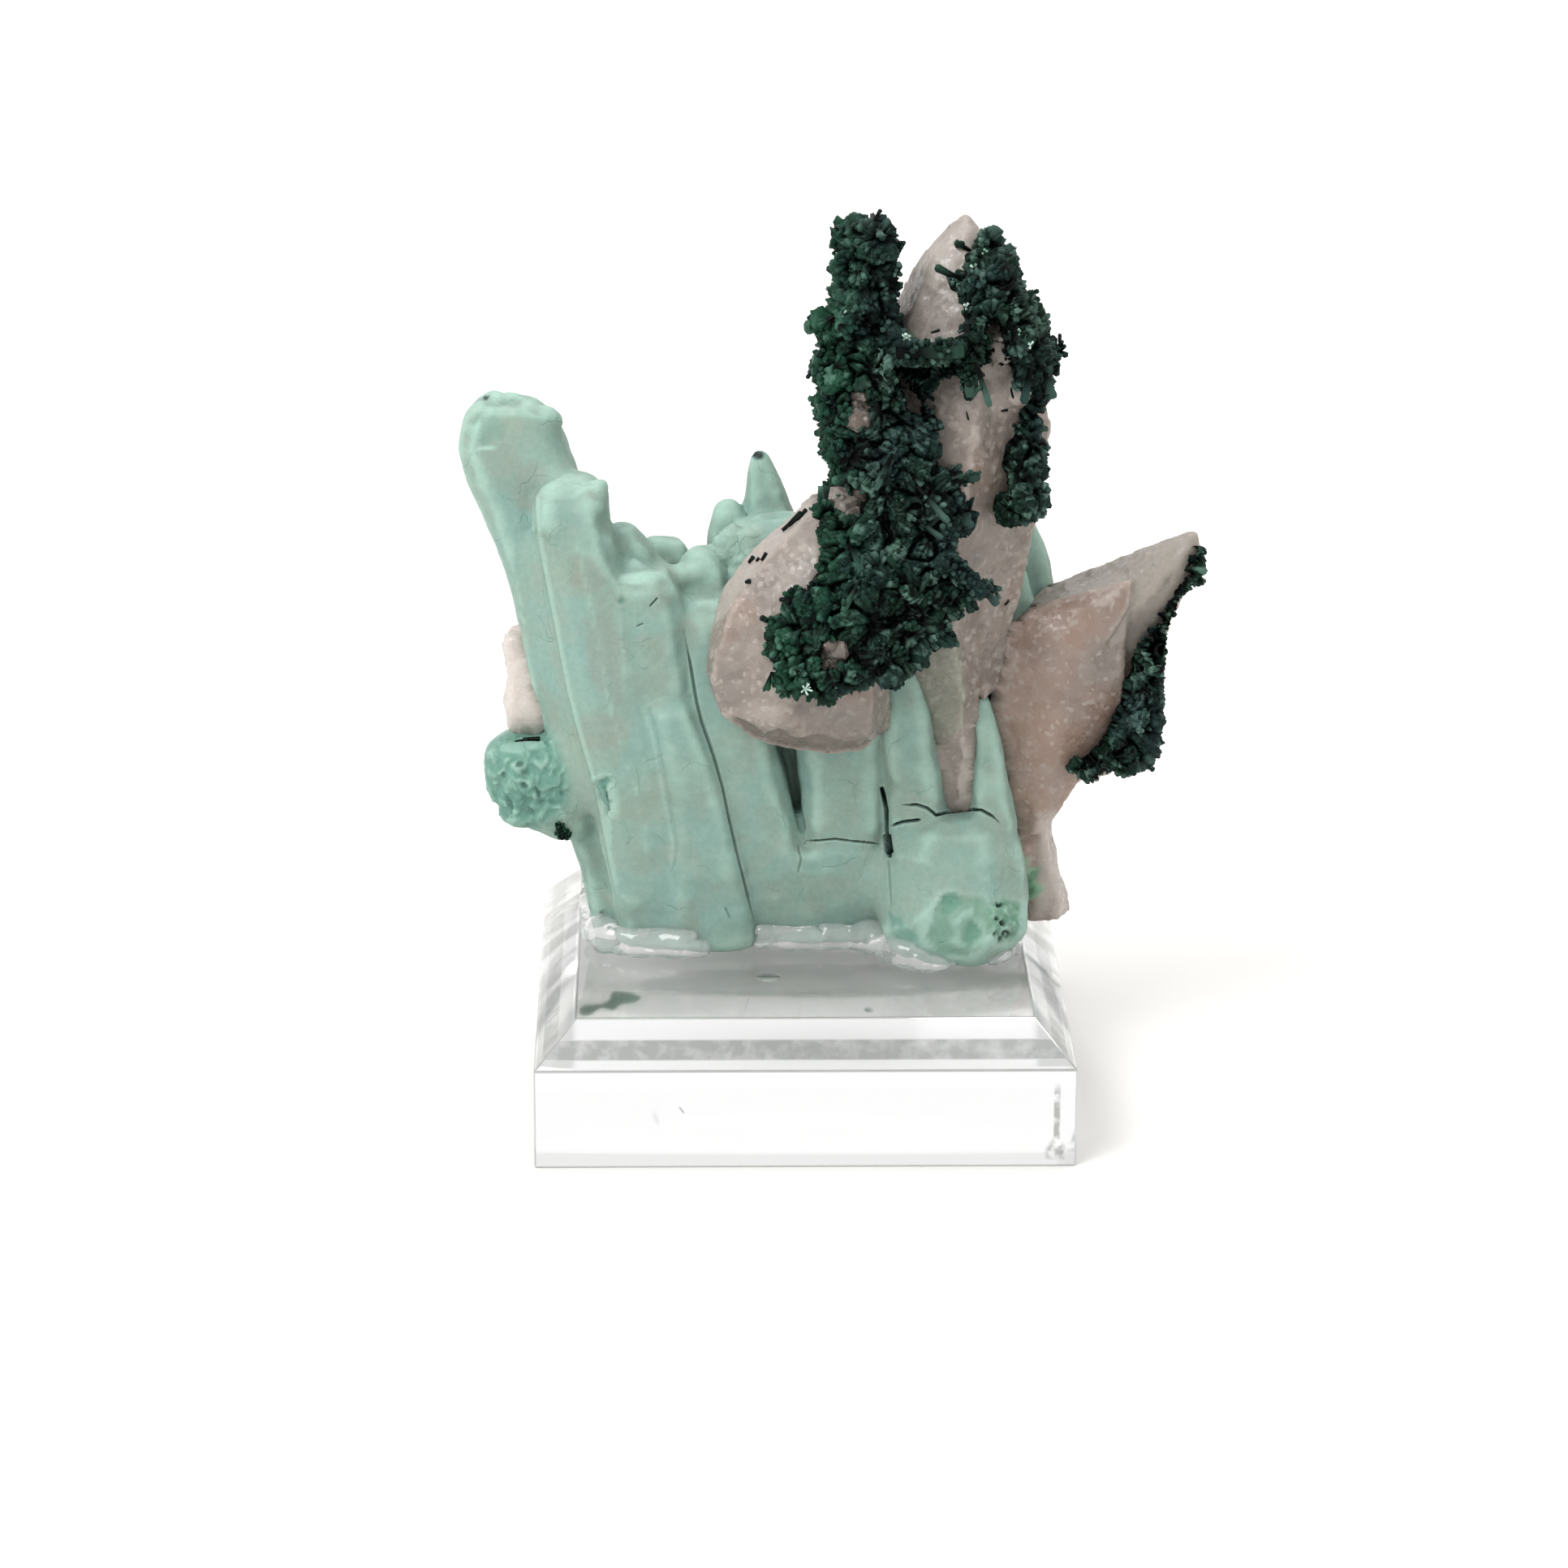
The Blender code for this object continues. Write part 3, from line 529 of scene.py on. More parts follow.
    def look(self) -> None:
        """Finds the points that the photograph's camera sees, past nothing of the same surface."""
        to_eye = np.array(LENS.eye) - self.points
        to_eye /= np.linalg.norm(to_eye, axis=1)[:, None]
        self.seen = (self.normals * to_eye).sum(axis=1) > 0.05
        tree = tree_of(self.piece)
        eye = Vector(LENS.eye) * MM
        for index in np.flatnonzero(self.seen):
            point = Vector(self.points[index]) * MM
            place, _, _, reach = tree.ray_cast(eye, (point - eye).normalized())
            if place is not None and (point - eye).length - reach > SEEN_DEPTH * MM:
                self.seen[index] = False
        self.places = LENS.pixels(self.points)

    def tone(self, tone: Tone, values: np.ndarray) -> None:
        """Adds a patch to a tone, which stays between 0 and 1."""
        held = self.tones.setdefault(tone, np.zeros(len(self.points)))
        self.tones[tone] = np.clip(np.maximum(held, values), 0.0, 1.0)

    def refine(self, lines: list[Line], reach: float) -> None:
        """Splits the faces near lines of pixels, so that a narrow crack has points to follow.

        Args:
            lines: the lines.
            reach: distance in millimetres within which faces are split.
        """
        near = np.zeros(len(self.places), bool)
        for line in lines:
            near |= distance_to_line(self.places, line)[0] < reach * PX_PER_MM
        self.split(near & self.seen)

    def split(self, near: np.ndarray) -> None:
        """Halves the edges between the chosen points."""
        self.store()
        shape = bmesh.new()
        shape.from_mesh(self.piece.data)
        shape.verts.ensure_lookup_table()
        edges = [e for e in shape.edges if near[e.verts[0].index] and near[e.verts[1].index]]
        bmesh.ops.subdivide_edges(shape, edges=edges, cuts=1, use_grid_fill=True)
        odd = [face for face in shape.faces if len(face.verts) > 4]
        bmesh.ops.triangulate(shape, faces=odd)
        shape.to_mesh(self.piece.data)
        shape.free()
        self.read()
        self.look()

    def cut(self, grooves: list[Groove]) -> None:
        """Presses seams and cracks into the surface and darkens them with painted shade."""
        rise = np.zeros(len(self.places))
        for groove in grooves:
            gap, along, _ = distance_to_line(self.places, groove.line)
            ends = np.clip(np.minimum(along, 1 - along) / GROOVE_TAPER, 0.15, 1.0) if groove.fades else 1.0
            half = groove.width * PX_PER_MM * ends
            near = self.seen & (gap < half * 2)
            wall = smooth_step(1.0 - gap / (half * 1.25)) * near
            rise = np.minimum(rise, -groove.depth * wall * ends)
            # Painted shade along the groove.
            self.tone(Tone.DARK, groove.dark * smooth_step(1.35 - gap / half) * near)
        self.push(rise)

    def raise_ledges(self, ledges: list[Ledge]) -> None:
        """Lifts the surface to the left of each ledge's line, with a sharp edge on the line itself and a painted
        highlight along its lip.
        """
        rise = np.zeros(len(self.places))
        for ledge in ledges:
            gap, along, side = distance_to_line(self.places, ledge.line)
            reach = ledge.reach * PX_PER_MM
            ends = np.clip(np.minimum(along, 1 - along) / 0.12, 0.0, 1.0)
            near = self.seen & (gap < reach)
            edge = smooth_step(np.where(side > 0, gap, -gap) / LEDGE_FACE + 0.5)
            fall = smooth_step(1.0 - gap / reach)
            rise += ledge.rise * edge * fall * ends * near
            # Painted highlight on the lip.
            lip = smooth_step(1.0 - np.abs(gap - LEDGE_FACE) / LEDGE_LIP) * (side > 0)
            self.tone(Tone.PALE, ledge.pale * lip * ends * near)
        self.push(rise)

    def patch(self, patches: list) -> None:
        """Tones, sinks and swells the surface inside spots and regions."""
        places = self.places
        rag = unevenness(self.points, RAG_PITCH, 3)
        rise = np.zeros(len(places))
        for item in patches:
            if isinstance(item, Spot):
                turn = math.radians(item.turn)
                away = places - np.array(item.centre)
                across = away[:, 0] * math.cos(turn) + away[:, 1] * math.sin(turn)
                down = away[:, 1] * math.cos(turn) - away[:, 0] * math.sin(turn)
                reach = np.hypot(across / item.radii[0], down / item.radii[1]) + rag * item.ragged
                cover = smooth_step((1.25 - reach) / 0.5)
            else:
                gap, _, _ = distance_to_line(places, (*item.outline, item.outline[0]))
                within = inside(places, item.outline)
                cover = smooth_step(0.5 + (np.where(within, gap, -gap) + rag * 3.0) / (2 * item.soft))
            cover = cover * self.seen
            rise += item.rise * cover
            self.tone(item.tone, item.strength * cover)
        if np.any(rise):
            self.push(rise)

    def close_on(self, tree: BVHTree, reach: float, overlap: float) -> None:
        """Draws the parts of the surface that lie close to another piece up to it, so that no gap shows.

        Args:
            tree: the other piece.
            reach: distance in millimetres within which the surface is drawn.
            overlap: distance that it then goes in.
        """
        for index, point in enumerate(self.points):
            place, _, _, gap = tree.find_nearest(Vector(point) * MM, reach * MM)
            if place is None or gap < 1e-7:
                continue
            way = (place / MM - Vector(point))
            self.points[index] += np.array(way + way.normalized() * overlap)
        self.write()

    def finish(self) -> bpy.types.Object:
        """Stores the tones in the mesh, shades it smooth and returns the piece."""
        self.store()
        mesh = self.piece.data
        mesh.polygons.foreach_set("use_smooth", np.ones(len(mesh.polygons), bool))
        mesh.update()
        return self.piece


GOLDEN_ANGLE = math.pi * (3 - math.sqrt(5))
# Skin: lengths that the grooves, ledges and patches share.
PX_PER_MM = 17.07
SEEN_DEPTH = 1.6
GROOVE_TAPER = 0.12
MELT_DEPTH = 2.5
TRIM_REACH = 45.0
LEDGE_FACE = 4.0
LEDGE_LIP = 5.0
RAG_PITCH = 0.9


class Finish:
    """A Principled material built node by node."""

    def __init__(self, name: str) -> None:
        self.material = bpy.data.materials.new(name)
        self.material.use_nodes = True
        self.tree = self.material.node_tree
        self.shader = self.tree.nodes["Principled BSDF"]
        self.place = self.node("ShaderNodeTexCoord").outputs["Object"]

    def node(self, kind: str, inputs: dict | None = None, **settings: object) -> bpy.types.Node:
        """Adds a node.

        Args:
            kind: the node's type.
            inputs: a value for each input, or an output that is linked to it.
            settings: the node's own properties.

        Returns:
            The node.
        """
        made = self.tree.nodes.new(kind)
        for name, value in settings.items():
            setattr(made, name, value)
        for name, value in (inputs or {}).items():
            if isinstance(value, bpy.types.NodeSocket):
                self.tree.links.new(value, made.inputs[name])
            else:
                made.inputs[name].default_value = value
        return made

    def noise(self, size: float, detail: float = 3.0, rough: float = 0.5, warp: float = 0.0) -> bpy.types.NodeSocket:
        """Noise whose features are about the given number of millimetres wide."""
        inputs = {"Vector": self.place, "Scale": 1 / (size * MM), "Detail": detail, "Roughness": rough,
                  "Distortion": warp}
        return self.node("ShaderNodeTexNoise", inputs).outputs["Fac"]

    def ramp(self, value: bpy.types.NodeSocket, low: float, high: float) -> bpy.types.NodeSocket:
        """The value spread from low..high to 0..1 and held there."""
        inputs = {"Value": value, "From Min": low, "From Max": high}
        return self.node("ShaderNodeMapRange", inputs).outputs["Result"]

    def blend(self, share: object, first: object, second: object, mode: str = "MIX") -> bpy.types.NodeSocket:
        """Mixes two colours; each is a hex colour or an output."""
        mix = self.node("ShaderNodeMix", data_type="RGBA", blend_type=mode)
        for socket, value in ((mix.inputs[0], share), (mix.inputs[6], first), (mix.inputs[7], second)):
            if isinstance(value, bpy.types.NodeSocket):
                self.tree.links.new(value, socket)
            else:
                socket.default_value = linear(value) if isinstance(value, str) else value
        return mix.outputs[2]

    def maths(self, operation: str, first: object, second: object = 0.0, third: float = 0.0) -> bpy.types.NodeSocket:
        """One step of arithmetic on numbers or outputs."""
        made = self.node("ShaderNodeMath", {0: first, 1: second, 2: third}, operation=operation)
        return made.outputs[0]

    def tone(self, tone: Tone) -> bpy.types.NodeSocket:
        """The strength of a tone that the skin carries."""
        return self.node("ShaderNodeAttribute", attribute_name=tone.value).outputs["Fac"]

    def bump(self, height: bpy.types.NodeSocket, depth: float, strength: float, under=None) -> bpy.types.NodeSocket:
        """A bump of the given depth in millimetres, on top of another one if there is one."""
        inputs = {"Height": height, "Distance": depth * MM, "Strength": strength}
        if under is not None:
            inputs["Normal"] = under
        return self.node("ShaderNodeBump", inputs).outputs["Normal"]

    def grains(self, size: float, sharp: float = 1.0) -> tuple[bpy.types.NodeSocket, bpy.types.NodeSocket]:
        """Crystal grains of the given size: a height that tilts each grain's facet, and a shade for each grain."""
        cells = self.node("ShaderNodeTexVoronoi", {"Vector": self.place, "Scale": 1 / (size * MM)})
        inputs = {0: self.place, 1: cells.outputs["Position"]}
        away = self.node("ShaderNodeVectorMath", inputs, operation="SUBTRACT").outputs[0]
        tilt = self.node("ShaderNodeVectorMath", {0: cells.outputs["Color"], 1: (0.5, 0.5, 0.5)},
                         operation="SUBTRACT").outputs[0]
        height = self.node("ShaderNodeVectorMath", {0: away, 1: tilt}, operation="DOT_PRODUCT").outputs["Value"]
        scaled = self.maths("MULTIPLY", height, sharp / (size * MM))
        shade = self.node("ShaderNodeSeparateColor", {0: cells.outputs["Color"]}).outputs[0]
        return scaled, shade

    def set(self, **values: object) -> None:
        """Sets or links the shader's inputs; a name's underscores stand for spaces."""
        for name, value in values.items():
            socket = self.shader.inputs[name.replace("_", " ")]
            if isinstance(value, bpy.types.NodeSocket):
                self.tree.links.new(value, socket)
            else:
                socket.default_value = value


@dataclass(frozen=True)
class SilicifiedChrysocolla:
    """Chrysocolla soaked with silica: matt and slightly waxy, so light sinks in a little and seams stay soft."""

    body: str = "#869F93"
    cool: str = "#82A098"
    warm: str = "#8A988C"
    # Pale is the colour of the painted highlights.
    pale: str = "#A2C0B3"
    grey: str = "#868E85"
    teal: str = "#5E8A7D"
    green: str = "#548266"
    # Dark is the colour of the painted shade in seams, cracks and pits, and of a few small dark spots.
    dark: str = "#172C28"
    mottle: float = 5.0
    grain: float = 0.22

    def build(self) -> bpy.types.Material:
        """Makes the material."""
        finish = Finish("silicified_chrysocolla_matt")
        broad = finish.ramp(finish.noise(self.mottle, 3.0, 0.55, 0.4), 0.36, 0.66)
        other = finish.ramp(finish.noise(self.mottle * 0.55, 2.0, 0.5), 0.42, 0.7)
        fine = finish.noise(0.45, 4.0, 0.65)
        colour = finish.blend(broad, self.body, self.cool)
        colour = finish.blend(finish.maths("MULTIPLY", other, 0.75), colour, self.warm)
        colour = finish.blend(finish.tone(Tone.GREY), colour, self.grey)
        # Teal tone: the stone's own colour where it is broken, and some painted shade in seams and hollows.
        colour = finish.blend(finish.tone(Tone.TEAL), colour, self.teal)
        rough = finish.blend(finish.ramp(finish.noise(0.8, 3.0, 0.6), 0.4, 0.62), self.green, "#709C82")
        colour = finish.blend(finish.tone(Tone.GREEN), colour, rough)
        # Pale tone: painted highlights on tops, crests, edges, bumps and lips.
        colour = finish.blend(finish.tone(Tone.PALE), colour, self.pale)
        speckle = finish.blend(finish.ramp(fine, 0.3, 0.7), "#E9EFEC", "#FFFFFF")
        colour = finish.blend(0.8, colour, speckle, "MULTIPLY")
        hair = self.hairlines(finish)
        colour = finish.blend(finish.maths("MULTIPLY", hair, 0.3), colour, self.teal)
        # Dark tone: painted shade in seams, cracks and pits, and a few small dark spots.
        colour = finish.blend(finish.tone(Tone.DARK), colour, self.dark)
        grit = finish.bump(finish.noise(self.grain, 3.0, 0.6), 0.05, 0.4)
        dimples = finish.bump(finish.noise(1.3, 3.0, 0.55), 0.16, 0.45, grit)
        dimples = finish.bump(finish.maths("MULTIPLY", hair, -1.0), 0.06, 0.6, dimples)
        finish.set(Base_Color=colour, Roughness=finish.ramp(fine, 1.6, -0.2), Normal=dimples)
        finish.set(Subsurface_Weight=0.08, Subsurface_Scale=0.0010, Specular_IOR_Level=0.3, IOR=1.5)
        finish.shader.inputs["Subsurface Radius"].default_value = (0.6, 1.0, 0.85)
        return finish.material

    def hairlines(self, finish: Finish) -> bpy.types.NodeSocket:
        """Shrinkage cracks as fine as a hair, drawn about 0.1 mm wide so that they show, and only here and there."""
        warp = finish.node("ShaderNodeTexNoise", {"Vector": finish.place, "Scale": 1 / (1.6 * MM), "Detail": 3.0})
        shift = finish.node("ShaderNodeVectorMath", {0: warp.outputs["Color"], 1: (0.0022, 0.0022, 0.0022)},
                            operation="MULTIPLY")
        place = finish.node("ShaderNodeVectorMath", {0: finish.place, 1: shift.outputs[0]}, operation="ADD")
        cells = finish.node("ShaderNodeTexVoronoi", {"Vector": place.outputs[0], "Scale": 1 / (self.mottle * MM)},
                            feature="DISTANCE_TO_EDGE")
        line = finish.ramp(cells.outputs["Distance"], 0.016, 0.002)
        patchy = finish.ramp(finish.noise(3.0, 2.0, 0.5), 0.5, 0.62)
        return finish.maths("MULTIPLY", line, patchy)


@dataclass(frozen=True)
class DrusyQuartz:
    """Quartz under a skin of sugar-fine crystals: grey-pink and milky, with many tiny sparkles painted into its colour
    as lighter grains.
    """

    body: str = "#877D75"
    shade: str = "#746B64"
    rose: str = "#8B7467"
    # Light: the colour of lighter grains, of painted highlights on single grains, crests and lit faces, and of the
    # left crystal's paler skin.
    light: str = "#B5ADA6"
    clear: str = "#BEB6AC"
    # Dark: the colour of painted shade low on the ball and along grooves, and of a few dark spots.
    dark: str = "#37302B"
    green: str = "#6FA07E"
    grain: float = 0.32

    def build(self, name: str, warmth: float) -> bpy.types.Material:
        """Makes the material.

        Args:
            name: the material's name.
            warmth: share of the rose tone.

        Returns:
            The material.
        """
        finish = Finish(name)
        broad = finish.ramp(finish.noise(4.5, 3.0, 0.55, 0.5), 0.38, 0.64)
        colour = finish.blend(broad, self.body, self.shade)
        rosy = finish.ramp(finish.noise(7.0, 2.0, 0.5), 0.62 - warmth * 0.4, 0.8 - warmth * 0.35)
        colour = finish.blend(rosy, colour, self.rose)
        facets, shade = finish.grains(self.grain)
        coarse, coarse_shade = finish.grains(self.grain * 2.6)
        # Painted highlights: single grains painted lighter.
        painted_glint = finish.ramp(shade, 0.84, 0.97)
        colour = finish.blend(finish.maths("MULTIPLY", painted_glint, 0.4), colour, self.light)
        colour = finish.blend(finish.maths("MULTIPLY", coarse_shade, 0.16), colour, self.light)
        # Pale tone: painted highlights on crests, edges and lit faces, and the left crystal's own paler colour.
        colour = finish.blend(finish.tone(Tone.PALE), colour, self.light)
        colour = finish.blend(finish.tone(Tone.GREEN), colour, self.green)
        # Dark tone: painted shade low on the ball and along grooves, and a few dark spots.
        colour = finish.blend(finish.tone(Tone.DARK), colour, self.dark)
        clear = finish.tone(Tone.CLEAR)
        colour = finish.blend(clear, colour, self.clear)
        bump = finish.bump(coarse, 0.14, 0.55)
        bump = finish.bump(facets, 0.07, 0.6, bump)
        milky = finish.maths("MULTIPLY", clear, 0.4)
        finish.set(Base_Color=colour, Normal=bump, Roughness=finish.ramp(shade, -0.6, 1.9))
        finish.set(Transmission_Weight=finish.maths("ADD", milky, 0.06), IOR=1.544)
        finish.set(Subsurface_Weight=0.25, Subsurface_Scale=0.0018)
        finish.shader.inputs["Subsurface Radius"].default_value = (1.0, 0.75, 0.65)
        return finish.material


@dataclass(frozen=True)
class FibrousMalachite:
    """Malachite in fine fibres: dark green with painted shade that turns it almost black between the tufts and at the
    rods' roots, satin on the rod ends.
    """

    # Colour of the painted shade between the tufts and at the rods' roots.
    crease_shade: str = "#010403"
    dark: str = "#091711"
    middle: str = "#1A3228"
    light: str = "#5C7A6F"
    # Colour of the painted highlights on single rods.
    painted_highlight_colour: str = "#8DB09F"
    blue: str = "#202F33"
    green: str = "#1F5238"
    mint: str = "#B9D2C6"

    def build(self) -> bpy.types.Material:
        """Makes the material; it reads each rod's own tone and the share of the way along it, which sets the painted
        shade.
        """
        finish = Finish("fibrous_malachite_satin")
        tone = finish.node("ShaderNodeAttribute", attribute_name="rod_tone").outputs["Fac"]
        reach = finish.node("ShaderNodeAttribute", attribute_name="rod_shade_reach").outputs["Fac"]
        colour = finish.blend(finish.ramp(tone, 0.1, 0.55), self.dark, self.middle)
        colour = finish.blend(finish.ramp(tone, 0.52, 0.93), colour, self.light)
        # Painted highlights: the lightest tones.
        colour = finish.blend(finish.ramp(tone, 0.972, 0.985), colour, self.painted_highlight_colour)
        cloud = finish.ramp(finish.noise(5.0, 2.0, 0.5), 0.42, 0.6)
        colour = finish.blend(finish.maths("MULTIPLY", cloud, 0.45), colour, self.blue)
        across = finish.node("ShaderNodeSeparateXYZ", {0: finish.place}).outputs["X"]
        greener = finish.maths("MULTIPLY", finish.ramp(across, 4.6 * MM, 2.2 * MM), finish.ramp(tone, 0.1, 0.6))
        colour = finish.blend(finish.maths("MULTIPLY", greener, 0.45), colour, self.green)
        # Painted shade between the tufts and towards the rods' roots.
        depth = finish.ramp(reach, 0.86, 0.36)
        colour = finish.blend(depth, colour, self.crease_shade)
        colour = finish.blend(finish.ramp(tone, 0.985, 0.995), colour, self.mint)
        fibres = finish.bump(finish.noise(0.12, 3.0, 0.6), 0.03, 0.5)
        finish.set(Base_Color=colour, Roughness=0.45, Normal=fibres, IOR=1.66)
        finish.set(Specular_IOR_Level=0.05)
        return finish.material


@dataclass(frozen=True)
class ClearCast:
    """Clear cast acrylic or set glue: colourless, with only gloss and refraction to show it; with a band given, grey
    is painted in: a painted reflection round the bevel and its corner mitres, a streak near one corner and a small
    tick.
    """

    name: str
    ior: float
    roughness: float
    tint: str = "#FFFFFF"
    ripple: float = 0.0
    coat: float = 0.0
    painted_reflection_band: tuple[float, float] | None = None
    milk: float = 0.0

    def build(self) -> bpy.types.Material:
        """Makes the material."""
        finish = Finish(self.name)
        smear = finish.noise(6.0, 2.0, 0.5)
        finish.set(Base_Color=linear(self.tint), Transmission_Weight=1.0 - self.milk, IOR=self.ior, Coat_Weight=self.coat)
        finish.set(Roughness=finish.ramp(smear, 0.35, 0.35 + 0.3 / max(self.roughness, 1e-3)), Coat_Roughness=0.02)
        if self.painted_reflection_band:
            height = finish.node("ShaderNodeSeparateXYZ", {0: finish.place}).outputs["Z"]
            # A grey band round the bevel: painted reflection, broken up by streaks.
            below = finish.ramp(height, (self.painted_reflection_band[0] - 0.1) * MM, self.painted_reflection_band[0] * MM)
            above = finish.ramp(height, (self.painted_reflection_band[1] + 0.1) * MM, self.painted_reflection_band[1] * MM)
            band = finish.maths("MULTIPLY", below, above)
            streaks = finish.ramp(finish.noise(1.4, 3.0, 0.6), -0.1, 0.55)
            across = finish.node("ShaderNodeSeparateXYZ", {0: finish.place}).outputs["X"]
            width = finish.maths("MULTIPLY_ADD", finish.ramp(height, 2.2 * MM, 1.3 * MM), 0.6 * MM, 0.28 * MM)
            offset = finish.maths("ABSOLUTE", finish.maths("SUBTRACT", across, 17.6 * MM))
            corner = finish.ramp(finish.maths("DIVIDE", offset, width), 1.0, 0.6)
            low = finish.maths("MULTIPLY", finish.ramp(height, 0.4 * MM, 0.7 * MM),
                               finish.ramp(height, 6.4 * MM, 5.4 * MM))
            # A grey streak near the right front corner.
            corner_streak = finish.maths("MULTIPLY", finish.maths("MULTIPLY", corner, low),
                                   finish.ramp(finish.noise(0.9, 3.0, 0.6), 0.4, 0.58))
            # Grey on the bevel's corner mitres: painted reflection.
            mitre = finish.maths("MULTIPLY", finish.ramp(finish.maths("ABSOLUTE", across), 15.9 * MM, 16.4 * MM),
                                 finish.ramp(height, 7.35 * MM, 7.45 * MM))
            slope = finish.maths("MULTIPLY", mitre, finish.ramp(height, 9.95 * MM, 9.85 * MM))
            shaded = finish.maths("MULTIPLY", finish.maths("MAXIMUM", band, finish.maths("MULTIPLY", slope, 0.6)),
                                  streaks)
            lean = finish.maths("MULTIPLY_ADD", height, 0.7, 5.66 * MM)
            tick = finish.maths("MULTIPLY", finish.ramp(finish.maths("ABSOLUTE", finish.maths("ADD", across, lean)),
                                                        0.13 * MM, 0.03 * MM),
                                finish.ramp(finish.maths("ABSOLUTE", finish.maths("SUBTRACT", height, 4.3 * MM)),
                                            0.3 * MM, 0.15 * MM))
            marks = finish.maths("MAXIMUM", finish.maths("MAXIMUM", shaded, corner_streak), tick)
            finish.set(Base_Color=finish.blend(marks, self.tint, "#868A85"))
            sole = finish.ramp(height, 0.2 * MM, 0.05 * MM)
            finish.set(Roughness=finish.maths("MULTIPLY_ADD", sole, 0.06, self.roughness))
        if self.ripple > 0:
            finish.set(Normal=finish.bump(finish.noise(1.1, 2.0, 0.5), self.ripple, 0.5))
        return finish.material


# The front of the chrysocolla, line by line as the photograph shows it.
# Seams and cracks; the dark of each one is painted shade along it.
SEAMS = [
    Groove(((661, 618), (662, 650), (672, 712), (684, 765), (692, 812), (701, 853), (709, 889), (719, 922),
            (729, 953), (736, 983), (745, 1024), (752, 1065), (759, 1101), (765, 1136)), 0.16, 0.05, 0.16),
    Groove(((843, 778), (851, 820), (857, 858), (865, 889), (880, 932), (891, 970), (899, 1009), (908, 1047),
            (915, 1075), (923, 1108), (932, 1146)), 0.12, 0.3, 0.42),
    Groove(((963, 910), (973, 942), (981, 988), (991, 1034)), 0.3, 0.3, 0.22),
    Groove(((1087, 972), (1092, 998), (1092, 1024), (1096, 1054)), 0.14, 1.0, 1.0, False),
    Groove(((1092, 1026), (1094, 1040), (1096, 1054)), 0.27, 1.2, 1.0),
    Groove(((1094, 1056), (1096, 1085), (1098, 1120)), 0.10, 0.18, 0.12),
    Groove(((993, 1036), (1010, 1036), (1028, 1034), (1052, 1037), (1085, 1040)), 0.085, 0.4, 0.75),
    Groove(((1097, 1018), (1113, 1013), (1136, 1010)), 0.12, 0.5, 0.95),
    Groove(((1110, 992), (1130, 992), (1142, 996), (1154, 1004), (1165, 1001), (1182, 999), (1198, 997),
            (1210, 999), (1223, 1006), (1232, 1014)), 0.11, 0.5, 0.85),
    Groove(((800, 748), (811, 736)), 0.07, 0.2, 0.7),
    Groove(((784, 772), (793, 768)), 0.06, 0.15, 0.6),
    Groove(((984, 1040), (987, 1060), (983, 1078)), 0.10, 0.15, 0.16),
    Groove(((893, 1117), (900, 1133)), 0.08, 0.12, 0.3),
    Groove(((800, 870), (808, 904), (814, 940), (819, 963), (825, 986), (829, 1014), (834, 1042), (832, 1062),
            (826, 1076)), 0.22, 0.07, 0.10),
]
# Steps, each with a painted highlight on its lip.
LEDGES = [
    Ledge(((708, 580), (689, 588), (668, 602), (661, 614), (664, 660), (684, 765), (701, 853), (719, 922),
           (736, 983), (752, 1065), (765, 1136)), 0.26, 2.6, 0.5),
    Ledge(((827, 1078), (834, 1048), (829, 1014), (819, 963), (808, 904), (796, 874), (818, 864), (852, 858)),
          0.0, 0.9, 0.25),
]
